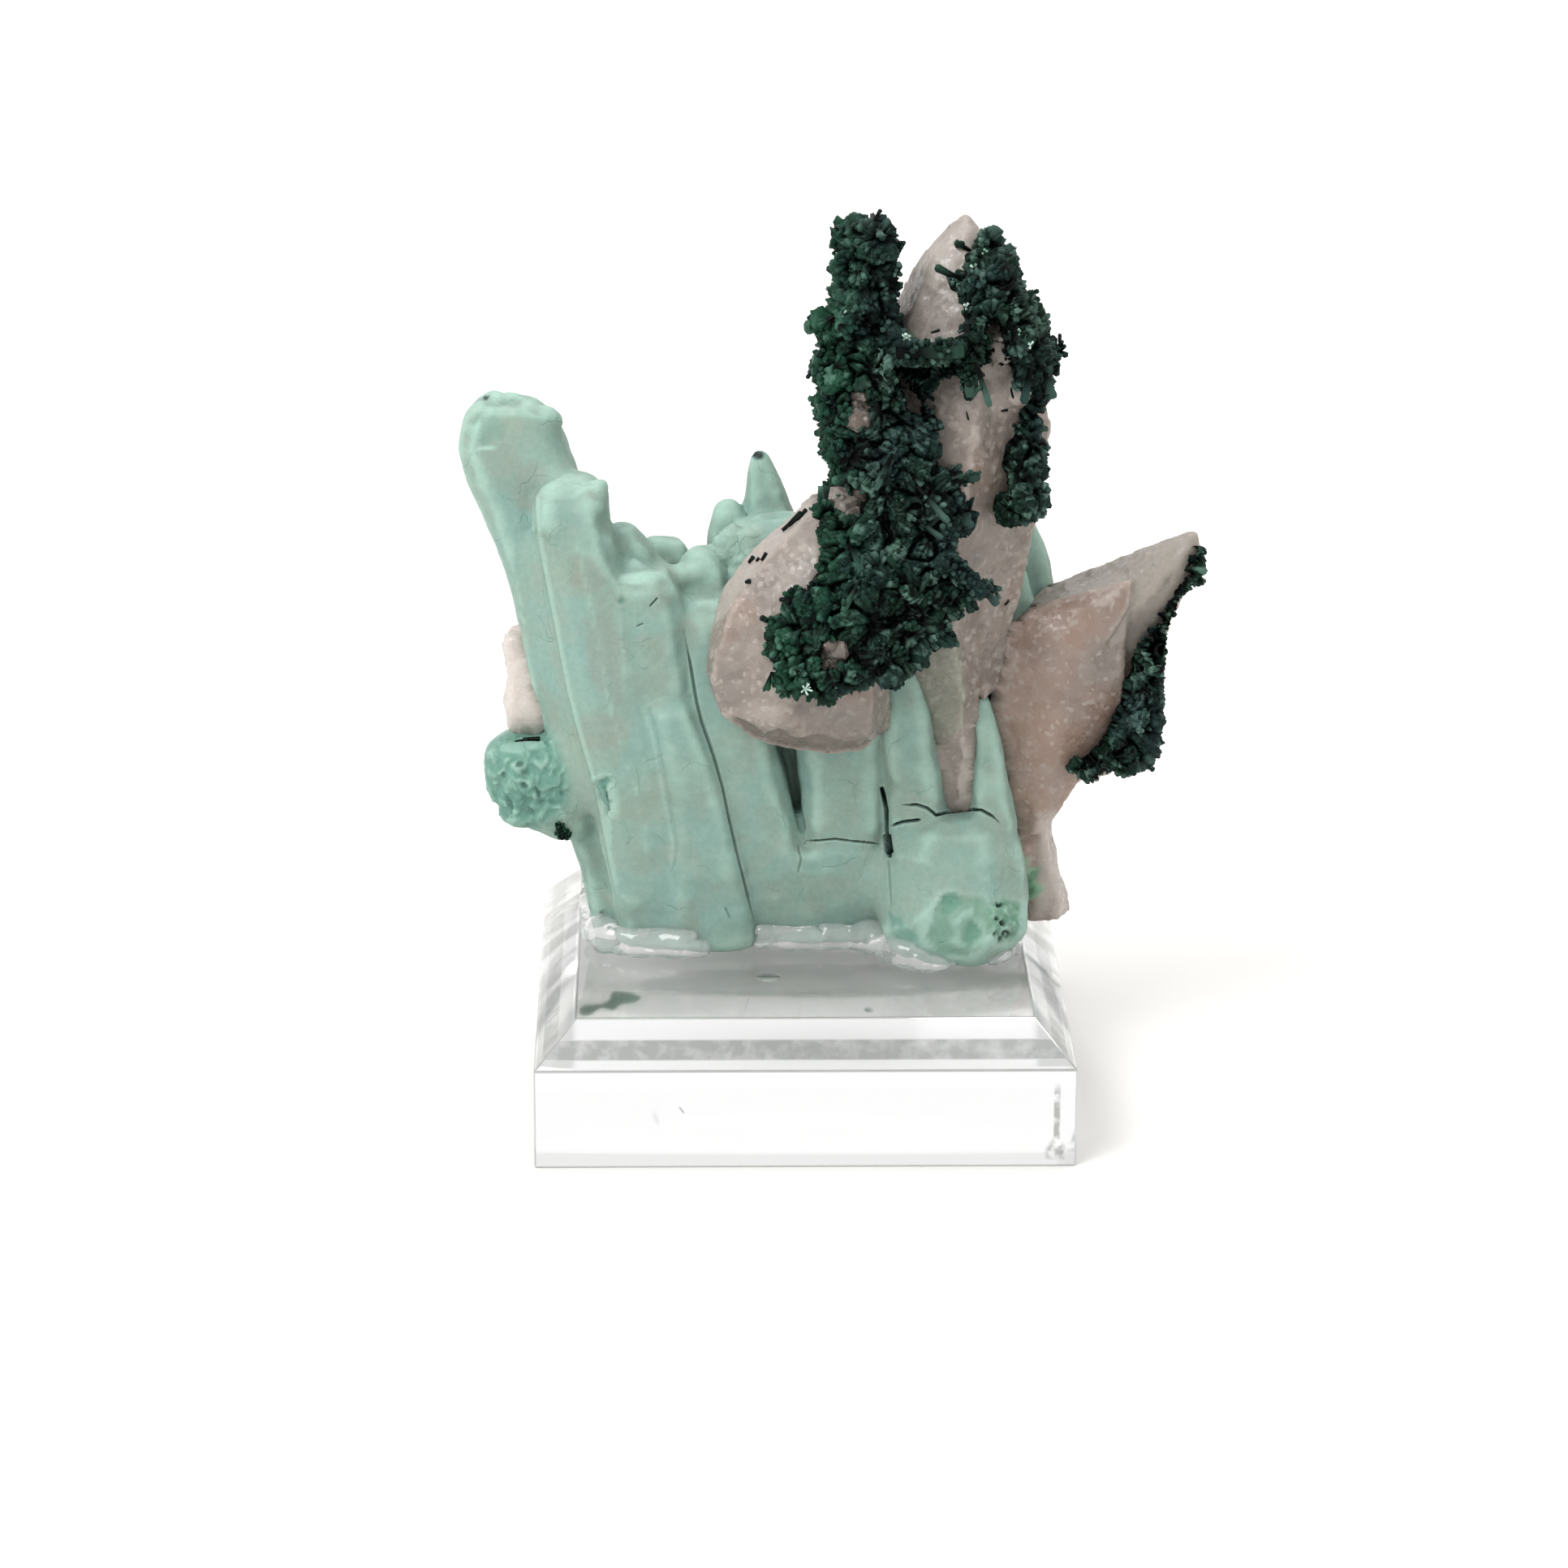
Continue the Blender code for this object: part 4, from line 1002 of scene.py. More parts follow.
# Patches on the front. The green and teal ones are the stone's own colour, mostly where the boulder is broken; the
# pale ones on tops, bumps, rims and edges are painted highlights, and the dark ones sunk into pits are painted shade.
FRONT_PATCHES_AND_PAINTED_LIGHT = [
    Region(((1162, 1101), (1210, 1106), (1221, 1124), (1221, 1150), (1206, 1176), (1160, 1180), (1143, 1160),
            (1152, 1122)), Tone.GREEN, 0.42, 3.0, -0.16),
    Spot((1171, 1113), (14, 12), Tone.TEAL, 0.9, -25.0, -0.12),
    Spot((1197, 1151), (10, 15), Tone.TEAL, 0.75, 10.0, -0.2),
    Spot((1186, 1130), (16, 5), Tone.PALE, 0.4, -35.0, 0.08),
    Spot((1178, 1163), (10, 6), Tone.GREEN, 0.6, 20.0, 0.08),
    Region(((1096, 1124), (1130, 1152), (1156, 1172), (1146, 1188), (1120, 1178), (1098, 1150)), Tone.TEAL, 0.75, 2.0),
    Region(((1222, 1112), (1238, 1106), (1254, 1114), (1256, 1140), (1248, 1160), (1228, 1160), (1219, 1136)),
           Tone.GREEN, 0.7, 3.0, -0.05),
    Spot((1244, 1122), (8, 7), Tone.PALE, 0.35, -20.0, 0.16),
    Spot((1246, 1142), (7, 8), Tone.PALE, 0.3, 20.0, 0.14),
    Spot((1224, 1124), (6, 8), Tone.TEAL, 0.5, 0.0, 0.06),
    # Dark pits in the broken boulder: painted shade.
    Spot((1233, 1115), (4, 2.4), Tone.DARK, 1.0, -15.0, -0.25, 0.7),
    Spot((1229, 1132), (3.4, 2.2), Tone.DARK, 1.0, 25.0, -0.25, 0.7),
    Spot((1236, 1137), (3.4, 2.6), Tone.DARK, 1.0, 40.0, -0.25, 0.7),
    Spot((1227, 1150), (2.4, 3.4), Tone.DARK, 1.0, 30.0, -0.2, 0.7),
    Spot((1240, 1151), (4.4, 2.8), Tone.DARK, 1.0, -20.0, -0.3, 0.7),
    Spot((1234, 1156), (3, 2), Tone.DARK, 0.9, 10.0, -0.2, 0.7),
    # A small hole: teal inside, painted shade in its depth and a painted highlight on its rim.
    Region(((736, 958), (748, 954), (753, 962), (749, 970), (752, 984), (755, 1000), (749, 1004), (742, 992),
            (737, 976), (734, 966)), Tone.TEAL, 0.85, 2.0, -0.24),
    Region(((746, 966), (751, 982), (754, 999), (750, 1002), (746, 988), (743, 972)), Tone.DARK, 0.35, 1.2, -0.1),
    Region(((732, 956), (744, 950), (753, 953), (748, 957), (737, 960), (733, 968)), Tone.PALE, 0.6, 1.5, 0.07),
    # Painted highlight along a finger's left edge.
    Spot((750, 1022), (5, 24), Tone.PALE, 0.55, -6.0, 0.0),
    # Pits on the knob: painted shade.
    Spot((628, 990), (9, 3), Tone.DARK, 0.5, 65.0, -0.15, 0.5),
    Spot((646, 968), (5, 3), Tone.DARK, 0.5, 40.0, -0.15, 0.5),
    Spot((662, 975), (7, 2), Tone.DARK, 0.45, 60.0, -0.12, 0.5),
    Spot((641, 941), (4, 3), Tone.DARK, 0.5, 0.0, -0.15, 0.5),
    Spot((620, 955), (3, 5), Tone.DARK, 0.4, 0.0, -0.12, 0.5),
    Spot((655, 1000), (8, 2), Tone.DARK, 0.35, 50.0, -0.1, 0.5),
    # Painted highlight on the knob's top.
    Spot((640, 920), (26, 7), Tone.PALE, 0.5, -5.0, 0.05, 0.4),
    Spot((602, 524), (21, 24), Tone.TEAL, 0.3, 0.0, -0.03, 0.5),
    # Painted highlights on the top of the left finger, with a small dark spot among them.
    Spot((601, 553), (12, 2), Tone.PALE, 0.9, 0.0, 0.08),
    Spot((598, 491), (4, 3), Tone.DARK, 1.0, -30.0, 0.0),
    Spot((622, 488), (16, 6), Tone.PALE, 0.9, 0.0, 0.1),
    Spot((655, 498), (14, 8), Tone.PALE, 0.5, -20.0, 0.0),
    # Greyer patches.
    Spot((652, 600), (22, 30), Tone.GREY, 0.6, 20.0),
    Spot((620, 570), (22, 40), Tone.GREY, 0.35, -20.0),
    Spot((722, 705), (26, 22), Tone.GREY, 0.5, 0.0, 0.0, 0.5),
    Spot((748, 810), (24, 60), Tone.GREY, 0.6, -10.0),
    Spot((740, 900), (30, 22), Tone.GREY, 0.5, 0.0),
    # Painted highlights on the tops of the next fingers.
    Spot((700, 600), (30, 14), Tone.PALE, 0.6, -15.0),
    Spot((785, 712), (28, 7), Tone.PALE, 0.8, -8.0),
    Spot((766, 741), (4, 3), Tone.TEAL, 0.7, 0.0, -0.1),
    # Painted highlights on a bump and a finger tip.
    Spot((884, 700), (12, 14), Tone.PALE, 0.55, 20.0),
    Spot((905, 684), (30, 18), Tone.PALE, 0.4, -30.0),
    # A small dark spot.
    Spot((933, 560), (9, 6), Tone.DARK, 1.0, 10.0),
    # Painted highlights on the top of a finger tip and the bump below it.
    Region(((876, 622), (912, 620), (926, 660), (922, 700), (880, 722), (838, 716), (842, 694), (872, 690)),
           Tone.PALE, 0.45, 6.0),
    Spot((858, 694), (16, 6), Tone.PALE, 0.5, -10.0),
    # Two small dark spots near the foot.
    Spot((742, 1130), (4, 9), Tone.DARK, 0.7, -20.0),
    Spot((722, 1118), (5, 9), Tone.DARK, 0.6, -20.0),
]
# Rough zones: the knob, a bump on a finger top and a patch of the boulder; the bump's pale tone is a painted
# highlight.
ROUGH = [
    Zone((650, 958), 1.8, 3.9, 0.17, Tone.TEAL, 0.9),
    Zone((905, 680), 1.0, 2.2, 0.14, Tone.PALE, 0.2),
    Zone((1238, 1134), 0.2, 1.5, 0.07, Tone.GREEN, 0.3),
]
MERGED = [
    ((1040, 1058), (1105, 1058), (1165, 1068), (1160, 1105), (1120, 1140), (1040, 1150)),
    ((700, 660), (760, 720), (770, 900), (730, 900), (700, 760)),
    ((636, 655), (704, 650), (730, 760), (752, 880), (790, 1000), (800, 1125), (728, 1130), (694, 1000), (666, 880),
     (644, 760)),
    ((592, 512), (690, 516), (712, 572), (660, 600), (604, 600), (582, 560)),
]
DABS = [
    Dab((736, 604), 1.1, 0.95),
    Dab((748, 641), 1.6, -0.5),
    Dab((584, 506), 1.4, 0.4),
    Dab((676, 508), 1.3, 0.35),
    Dab((612, 494), 0.7, 0.25),
    Dab((652, 497), 0.8, 0.25),
    Dab((632, 492), 0.4, -0.2),
    Dab((688, 606), 1.4, 0.25),
    Dab((765, 722), 1.2, 0.2),
    Dab((858, 704), 1.0, 0.25),
    Dab((893, 640), 1.2, 0.25),
    Dab((884, 668), 0.8, 0.2),
    Dab((1080, 1085), 2.4, 0.35),
    Dab((1085, 1125), 2.2, 0.35),
]


@dataclass
class Fingers:
    """The chrysocolla: fused fingers with soft tops, sharp seams and a broken boulder at the lower right."""

    grain: float = 0.292
    smooth_rounds: int = 8
    foot_top: float = 12.2
    foot_drop: float = 0.72
    ripple: float = 0.16
    waves: float = 0.22
    melt_rounds: int = 110

    def build(self) -> bpy.types.Object:
        """Makes the piece that stands for the chrysocolla solid."""
        piece = copy_of_solid("chrysocolla", "chrysocolla_fingers")
        modify(piece, "REMESH", mode="VOXEL", voxel_size=self.grain * MM)
        modify(piece, "SMOOTH", factor=0.5, iterations=self.smooth_rounds)
        skin = Skin(piece)
        swell = unevenness(skin.points, 3.2, 1) * self.waves + unevenness(skin.points, 1.2, 2) * self.ripple * 0.4
        skin.push(swell + 0.05)
        skin.dab(DABS)
        low = skin.points[:, 2] < self.foot_top
        floor = skin.points[:, 2].min()
        share = (self.foot_top - skin.points[:, 2]) / (self.foot_top - floor)
        skin.points[:, 2] -= np.where(low, share * self.foot_drop, 0.0)
        skin.write()
        skin.look()
        skin.melt(MERGED, self.melt_rounds)
        skin.roughen(ROUGH)
        skin.refine([s.line for s in SEAMS], 0.75)
        narrow = [s.line for s in SEAMS if s.width < 0.25]
        skin.refine(narrow, 0.32)
        skin.patch(FRONT_PATCHES_AND_PAINTED_LIGHT)
        skin.cut(SEAMS)
        skin.raise_ledges(LEDGES)
        crest = skin.crest(6)
        # Painted highlight on crests and edges, painted shade in seams and hollows.
        skin.tone(Tone.PALE, smooth_step(crest / 0.10) * 0.6)
        skin.tone(Tone.TEAL, smooth_step(-crest / 0.12) * 0.25)
        skin.finish()
        piece.data.materials.append(SilicifiedChrysocolla().build())
        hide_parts("chrysocolla")
        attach(piece, BODY)
        return piece


@dataclass
class QuartzSkin:
    """One quartz solid with its sugary skin; its marks can make a part of it clear."""

    node: str
    name: str
    warmth: float
    grain: float = 0.27
    smooth_rounds: int = 3
    sugar: float = 0.10
    pitch: float = 0.95
    marks: list = field(default_factory=list)
    seams: list = field(default_factory=list)
    ledges: list = field(default_factory=list)
    merged: list = field(default_factory=list)
    dabs: list = field(default_factory=list)
    pale: float = 0.0
    light: str = "#B5ADA6"
    foot_drop: float = 0.0

    def build(self, neighbours: BVHTree) -> bpy.types.Object:
        """Makes the piece that stands for the quartz solid."""
        piece = copy_of_solid(self.node, self.name)
        modify(piece, "REMESH", mode="VOXEL", voxel_size=self.grain * MM)
        modify(piece, "SMOOTH", factor=0.5, iterations=self.smooth_rounds)
        skin = Skin(piece)
        skin.close_on(neighbours, 0.75, 0.25)
        skin.push(self.grain_relief(skin.points) + unevenness(skin.points, 2.4, 5) * 0.16)
        skin.dab(self.dabs)
        if self.foot_drop:
            low = smooth_step((12.2 - skin.points[:, 2]) / 1.2)
            skin.points[:, 2] -= low * self.foot_drop
            skin.write()
        skin.look()
        skin.melt(self.merged, 40)
        for tone in (Tone.CLEAR, Tone.DARK, Tone.GREEN, Tone.PALE):
            skin.tone(tone, np.zeros(len(skin.points)))
        skin.tone(Tone.PALE, np.full(len(skin.points), self.pale))
        if self.seams:
            skin.refine([s.line for s in self.seams], 0.6)
        skin.patch(self.marks)
        skin.cut(self.seams)
        skin.raise_ledges(self.ledges)
        crest = skin.crest(3)
        # Painted highlight on crests and edges.
        skin.tone(Tone.PALE, smooth_step(crest / 0.09 - 0.15) * 0.5)
        skin.finish()
        finish = DrusyQuartz(light=self.light)
        piece.data.materials.append(finish.build(f"drusy_quartz_{self.name}", self.warmth))
        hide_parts(self.node)
        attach(piece, BODY)
        return piece

    def grain_relief(self, points: np.ndarray) -> np.ndarray:
        """The height of each sugar grain's tilted facet, in millimetres."""
        relief = np.empty(len(points))
        for index, point in enumerate(points):
            place = Vector(point) / self.pitch
            centre = noise.voronoi(place)[1][0]
            tilt = noise.cell_vector(centre * 7.31) - Vector((0.5, 0.5, 0.5))
            relief[index] = (place - centre).dot(tilt)
        return relief * self.sugar * 2.0


def rod_master(sides: int = 5) -> bpy.types.Mesh:
    """A unit rod that stands on the origin: narrow at the root, widest near the top, with a blunt tip."""
    deselect()
    bpy.ops.mesh.primitive_cylinder_add(vertices=sides, radius=1.0, depth=1.0, location=(0, 0, 0.5))
    piece = start_piece("rod_master")
    bpy.ops.object.mode_set(mode="EDIT")
    select_faces(piece, lambda face: face.normal.z < -0.5)
    bpy.ops.transform.resize(value=(0.55, 0.55, 1.0), center_override=(0, 0, 0))
    select_faces(piece, lambda face: face.normal.z > 0.5)
    bpy.ops.mesh.inset(thickness=0.3)
    bpy.ops.transform.translate(value=(0.08, 0.04, 0.1))
    bpy.ops.object.mode_set(mode="OBJECT")
    mesh = piece.data
    bpy.data.objects.remove(piece)
    return mesh


def crystal_master(sides: int = 6) -> bpy.types.Mesh:
    """A unit quartz point that stands on the origin: a six-sided prism under an uneven pyramid."""
    deselect()
    bpy.ops.mesh.primitive_cylinder_add(vertices=sides, radius=1.0, depth=0.55, location=(0, 0, 0.275))
    piece = start_piece("crystal_master")
    bpy.ops.object.mode_set(mode="EDIT")
    select_faces(piece, lambda face: face.normal.z > 0.5)
    bpy.ops.mesh.extrude_region_move(TRANSFORM_OT_translate={"value": (0.06, 0.03, 0.45)})
    bpy.ops.transform.resize(value=(0.16, 0.16, 1.0), center_override=(0.06, 0.03, 1.0))
    bpy.ops.object.mode_set(mode="OBJECT")
    mesh = piece.data
    bpy.data.objects.remove(piece)
    return mesh


def gathered(name: str, master: bpy.types.Mesh, places: list[Matrix], tones: list[float]) -> bpy.types.Object:
    """Joins one copy of a master at each place into one piece.

    Args:
        name: the piece's name.
        master: the shape that repeats.
        places: where each copy stands, in millimetres.
        tones: a shade for each copy.

    Returns:
        The piece, with the attributes rod_tone and rod_shade_reach.
    """
    count = len(master.vertices)
    local = np.ones((count, 4))
    local[:, :3] = [vert.co[:] for vert in master.vertices]
    faces = [tuple(face.vertices) for face in master.polygons]
    stack = np.array([np.array(place) for place in places])
    points = np.einsum("nij,kj->nki", stack, local)[:, :, :3].reshape(-1, 3) * MM
    rings = [tuple(i + count * n for i in ring) for n in range(len(places)) for ring in faces]
    mesh = bpy.data.meshes.new(name)
    mesh.from_pydata(points.tolist(), [], rings)
    tone = mesh.attributes.new("rod_tone", "FLOAT", "POINT")
    tone.data.foreach_set("value", np.repeat(np.array(tones, np.float32), count))
    # The share of the way up each rod, which sets painted shade at its root.
    reach = mesh.attributes.new("rod_shade_reach", "FLOAT", "POINT")
    reach.data.foreach_set("value", np.tile(np.clip(local[:, 2], 0, 1).astype(np.float32), len(places)))
    mesh.update()
    piece = bpy.data.objects.new(name, mesh)
    bpy.context.scene.collection.objects.link(piece)
    return piece


def standing(root: Vector, way: Vector, radius: float, length: float, spin: float) -> Matrix:
    """The place of a unit rod: its root, the way it points, its radius, its length and its turn about itself."""
    turn = way.to_track_quat("Z", "Y").to_matrix().to_4x4() @ Matrix.Rotation(spin, 4, "Z")
    return Matrix.Translation(root) @ turn @ Matrix.Diagonal((radius, radius, length, 1.0))


def spread_points(piece: bpy.types.Object, spacing: float, draw: random.Random) -> list[tuple[Vector, Vector]]:
    """Random places on a surface, none closer together than the spacing.

    Args:
        piece: the object whose surface is covered.
        spacing: least distance in millimetres.
        draw: the source of random numbers.

    Returns:
        A place in millimetres and its normal, for each point.
    """
    faces = piece.data.polygons
    areas = np.array([face.area for face in faces])
    sums = np.cumsum(areas)
    tries = int(sums[-1] / (MM * MM) / (spacing * spacing) * 14)
    cells: dict[tuple[int, int, int], list[Vector]] = {}
    kept: list[tuple[Vector, Vector]] = []
    for _ in range(tries):
        face = faces[int(np.searchsorted(sums, draw.random() * sums[-1]))]
        corners = [piece.data.vertices[i].co for i in face.vertices]
        shares = [draw.random() + 1e-3 for _ in corners]
        place = sum((c * s for c, s in zip(corners, shares)), Vector()) / sum(shares) / MM
        cell = tuple(int(math.floor(c / spacing)) for c in place)
        around = [
            other
            for x in (-1, 0, 1) for y in (-1, 0, 1) for z in (-1, 0, 1)
            for other in cells.get((cell[0] + x, cell[1] + y, cell[2] + z), ())
        ]
        if all((place - other).length > spacing for other in around):
            cells.setdefault(cell, []).append(place)
            kept.append((place, face.normal.copy()))
    return kept


@dataclass(frozen=True)
class Twig:
    """A thick rod between two pixels, set with short rods all round."""

    start: Pixel
    end: Pixel
    radius: float
    lift: tuple[float, float] = (0.2, 0.2)
    bristles: int = 0

    def grow(self, tree: BVHTree, draw: random.Random, places: list, tones: list) -> None:
        """Adds the rod, standing off the surface by its lift at each end."""
        ends = [LENS.hit(tree, pixel) for pixel in (self.start, self.end)]
        if ends[0] is None:
            LOG.warning("no crust under pixel %s", self.start)
            return
        back = LENS.axes()[2]
        root = ends[0][0] + back * self.lift[0]
        tip = root + LENS.flat_step(root, self.start, self.end) + back * (self.lift[1] - self.lift[0])
        way = tip - root
        places.append(standing(root, way, self.radius, way.length, draw.uniform(0, 6.28)))
        tones.append(draw.uniform(0.35, 0.7))
        side = way.orthogonal().normalized()
        for _ in range(self.bristles):
            out = Matrix.Rotation(draw.uniform(0, 6.28), 3, way.normalized()) @ side
            lean = (out + way.normalized() * draw.uniform(-0.5, 0.6)).normalized()
            foot = root + way * draw.uniform(0.03, 1.0)
            places.append(standing(foot, lean, draw.uniform(0.14, 0.28), self.radius + draw.uniform(0.0, 0.2),
                                   draw.uniform(0, 6.28)))
            tones.append(draw.uniform(0.0, 0.75))


@dataclass
class MalachiteCrust:
    """One malachite crust: a core of packed rod ends, a little thinner than its solid, with tufts of rods on it."""

    node: str
    name: str
    seed: int
    grain: float = 0.14
    lobe: float = 1.75
    grit: float = 0.5
    spacing: float = 1.75
    rods: int = 9
    shrink: float = 1.05
    sizes: tuple[float, float] = (0.6, 1.25)
    radii: tuple[float, float] = (0.13, 0.26)
    spread: float = 58.0
    dabs: list[Dab] = field(default_factory=list)
    windows: list[Spot] = field(default_factory=list)
    bare: list[Line] = field(default_factory=list)
    outlines: list[Line] = field(default_factory=list)
    top: float = 99.0

    def build(self, hosts: BVHTree, twigs: list[Twig]) -> list[bpy.types.Object]:
        """Makes the core and its rods.

        Args:
            hosts: the minerals that the crust grew on.
            twigs: the thick rods that the photograph shows one by one.

        Returns:
            The pieces.
        """
        draw = random.Random(self.seed)
        core = copy_of_solid(self.node, f"{self.name}_core")
        if self.outlines:
            modify(core, "REMESH", mode="VOXEL", voxel_size=self.grain * 1.6 * MM)
            Skin(core).trim(self.outlines)
        modify(core, "REMESH", mode="VOXEL", voxel_size=self.grain * MM)
        modify(core, "SMOOTH", factor=0.5, iterations=8)
        skin = Skin(core)
        skin.dab(self.dabs)
        skin.points[:, 2] = np.minimum(skin.points[:, 2], self.top)
        skin.write()
        skin.dab([Dab(w.centre, max(w.radii) / PX_PER_MM, w.rise) for w in self.windows])
        near = [hosts.find_nearest(Vector(point) * MM, 1.2 * MM)[3] for point in skin.points]
        free = smooth_step(np.array([1.2 if gap is None else gap / MM for gap in near]) / 1.2)
        skin.close_on(hosts, 0.6, 0.25)
        self.grow_lobes(skin, free)
        if self.bare:
            skin.sink(self.bare, hosts, 0.35)
        skin.finish()
        places: list[Matrix] = []
        tones: list[float] = []
        for root, normal in spread_points(core, self.spacing, draw):
            ahead = hosts.ray_cast(root * MM, normal, 0.8 * MM)[0]
            if ahead is None and not self.in_window(root, normal):
                self.sheaf(root, normal, draw, places, tones)
        tree = tree_of(core)
        for twig in twigs:
            twig.grow(tree, draw, places, tones)
        rods = gathered(f"{self.name}_rods", rod_master(), places, tones)
        material = FibrousMalachite().build()
        for mesh in (core.data, rods.data):
            mesh.materials.append(material)
        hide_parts(self.node)
        for piece in (core, rods):
            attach(piece, BODY)
        LOG.info("%s: %d rods", self.name, len(places))
        return [core, rods]

    def grow_lobes(self, skin: Skin, free: np.ndarray) -> None:
        """Swells the core into lobes that are fluted from their own centres, with crystal ends all over them, and
        stores their tones: painted highlights on flute ridges and high places, painted shade in the creases.
        """
        count = len(skin.points)
        rise = np.empty(count)
        shades = np.empty(count)
        for index, point in enumerate(skin.points):
            place = Vector(point) / self.lobe
            place += noise.noise_vector(Vector(point) / (self.lobe * 1.5)) * 0.55
            gaps, centres = noise.voronoi(place)
            own = noise.cell_vector(centres[0] * 7.31)
            axis = (noise.cell_vector(centres[0] * 3.17) - Vector((0.5, 0.5, 0.5))).normalized()
            side = axis.orthogonal()
            away = place - centres[0]
            angle = math.atan2(away.dot(axis.cross(side)), away.dot(side))
            flutes = abs(math.cos(angle * round(4 + own.z * 4)))
            crease = min(1.0, (gaps[1] - gaps[0]) / 0.14)
            if noise.cell_vector((centres[0] + centres[1]) * 4.71).x < 0.45:
                crease = 0.55 + 0.45 * crease
            dome = max(0.0, 1 - (gaps[0] / 0.8) ** 2)
            fine_gaps, fine_centres = noise.voronoi(Vector(point) / self.grit)
            fine = noise.cell_vector(fine_centres[0] * 5.13)
            chip = fine.x * min(1.0, (fine_gaps[1] - fine_gaps[0]) / 0.2)
            rise[index] = own.x * 0.55 + (dome * 0.34 + flutes * 0.32 + 0.4) * crease + chip * 0.42
            # Random tone for each lobe and crystal end, lighter on the flute ridges as a painted highlight.
            shades[index] = own.y * 0.3 + fine.y ** 2 * 0.62 + flutes * 0.14
        depth = (rise - rise.min()) / (rise.max() - rise.min())
        skin.push(np.where(free > 0.02, (rise - self.shrink) * free, 0.0))
        mesh = skin.piece.data
        # The tone rises with height as a painted highlight; the share of the height sets painted shade in the creases.
        for name, values in (("rod_tone", shades + depth * 0.12), ("rod_shade_reach", depth * 1.5 - 0.2)):
            layer = mesh.attributes.new(name, "FLOAT", "POINT")
            layer.data.foreach_set("value", np.clip(values, 0.0, 0.93).astype(np.float32))

    def in_window(self, root: Vector, normal: Vector) -> bool:
        """Tells whether a place lies where the photograph shows bare quartz through the crust."""
        if normal.y > 0.2:
            return False
        x, y = LENS.pixels(np.array([root]))[0]
        if any(inside(np.array([[x, y]]), outline)[0] for outline in self.bare):
            return True
        return any(math.hypot((x - w.centre[0]) / w.radii[0], (y - w.centre[1]) / w.radii[1]) < 1.3
                   for w in self.windows)

    def sheaf(self, root: Vector, normal: Vector, draw: random.Random, places: list, tones: list) -> None:
        """Adds the rods of one sheaf, which fans out from a root inside the core."""
        size = draw.uniform(*self.sizes)
        shade = draw.uniform(0.0, 0.5)
        lean = Vector([draw.gauss(0, 0.75) for _ in range(3)])
        axis = (normal + lean - normal * lean.dot(normal)).normalized()
        side = axis.orthogonal().normalized()
        foot = root - axis * size * 0.68
        count = max(4, round(self.rods * size))
        start = draw.uniform(0, 2 * math.pi)
        flat = draw.uniform(0.35, 1.0)
        for index in range(count):
            share = (index + draw.uniform(0.1, 0.9)) / count
            tilt = math.radians(self.spread) * math.sqrt(share)
            turn = Matrix.Rotation(start + index * GOLDEN_ANGLE + draw.gauss(0, 0.3), 3, axis)
            way = turn @ (Matrix.Rotation(tilt, 3, side) @ axis)
            way = (way - side * way.dot(side) * (1 - flat)).normalized()
            length = size * draw.uniform(0.7, 1.1)
            places.append(standing(foot, way, draw.uniform(*self.radii), length, draw.uniform(0, 6.28)))
            tones.append(min(0.97, shade + draw.uniform(0.0, 0.5)))


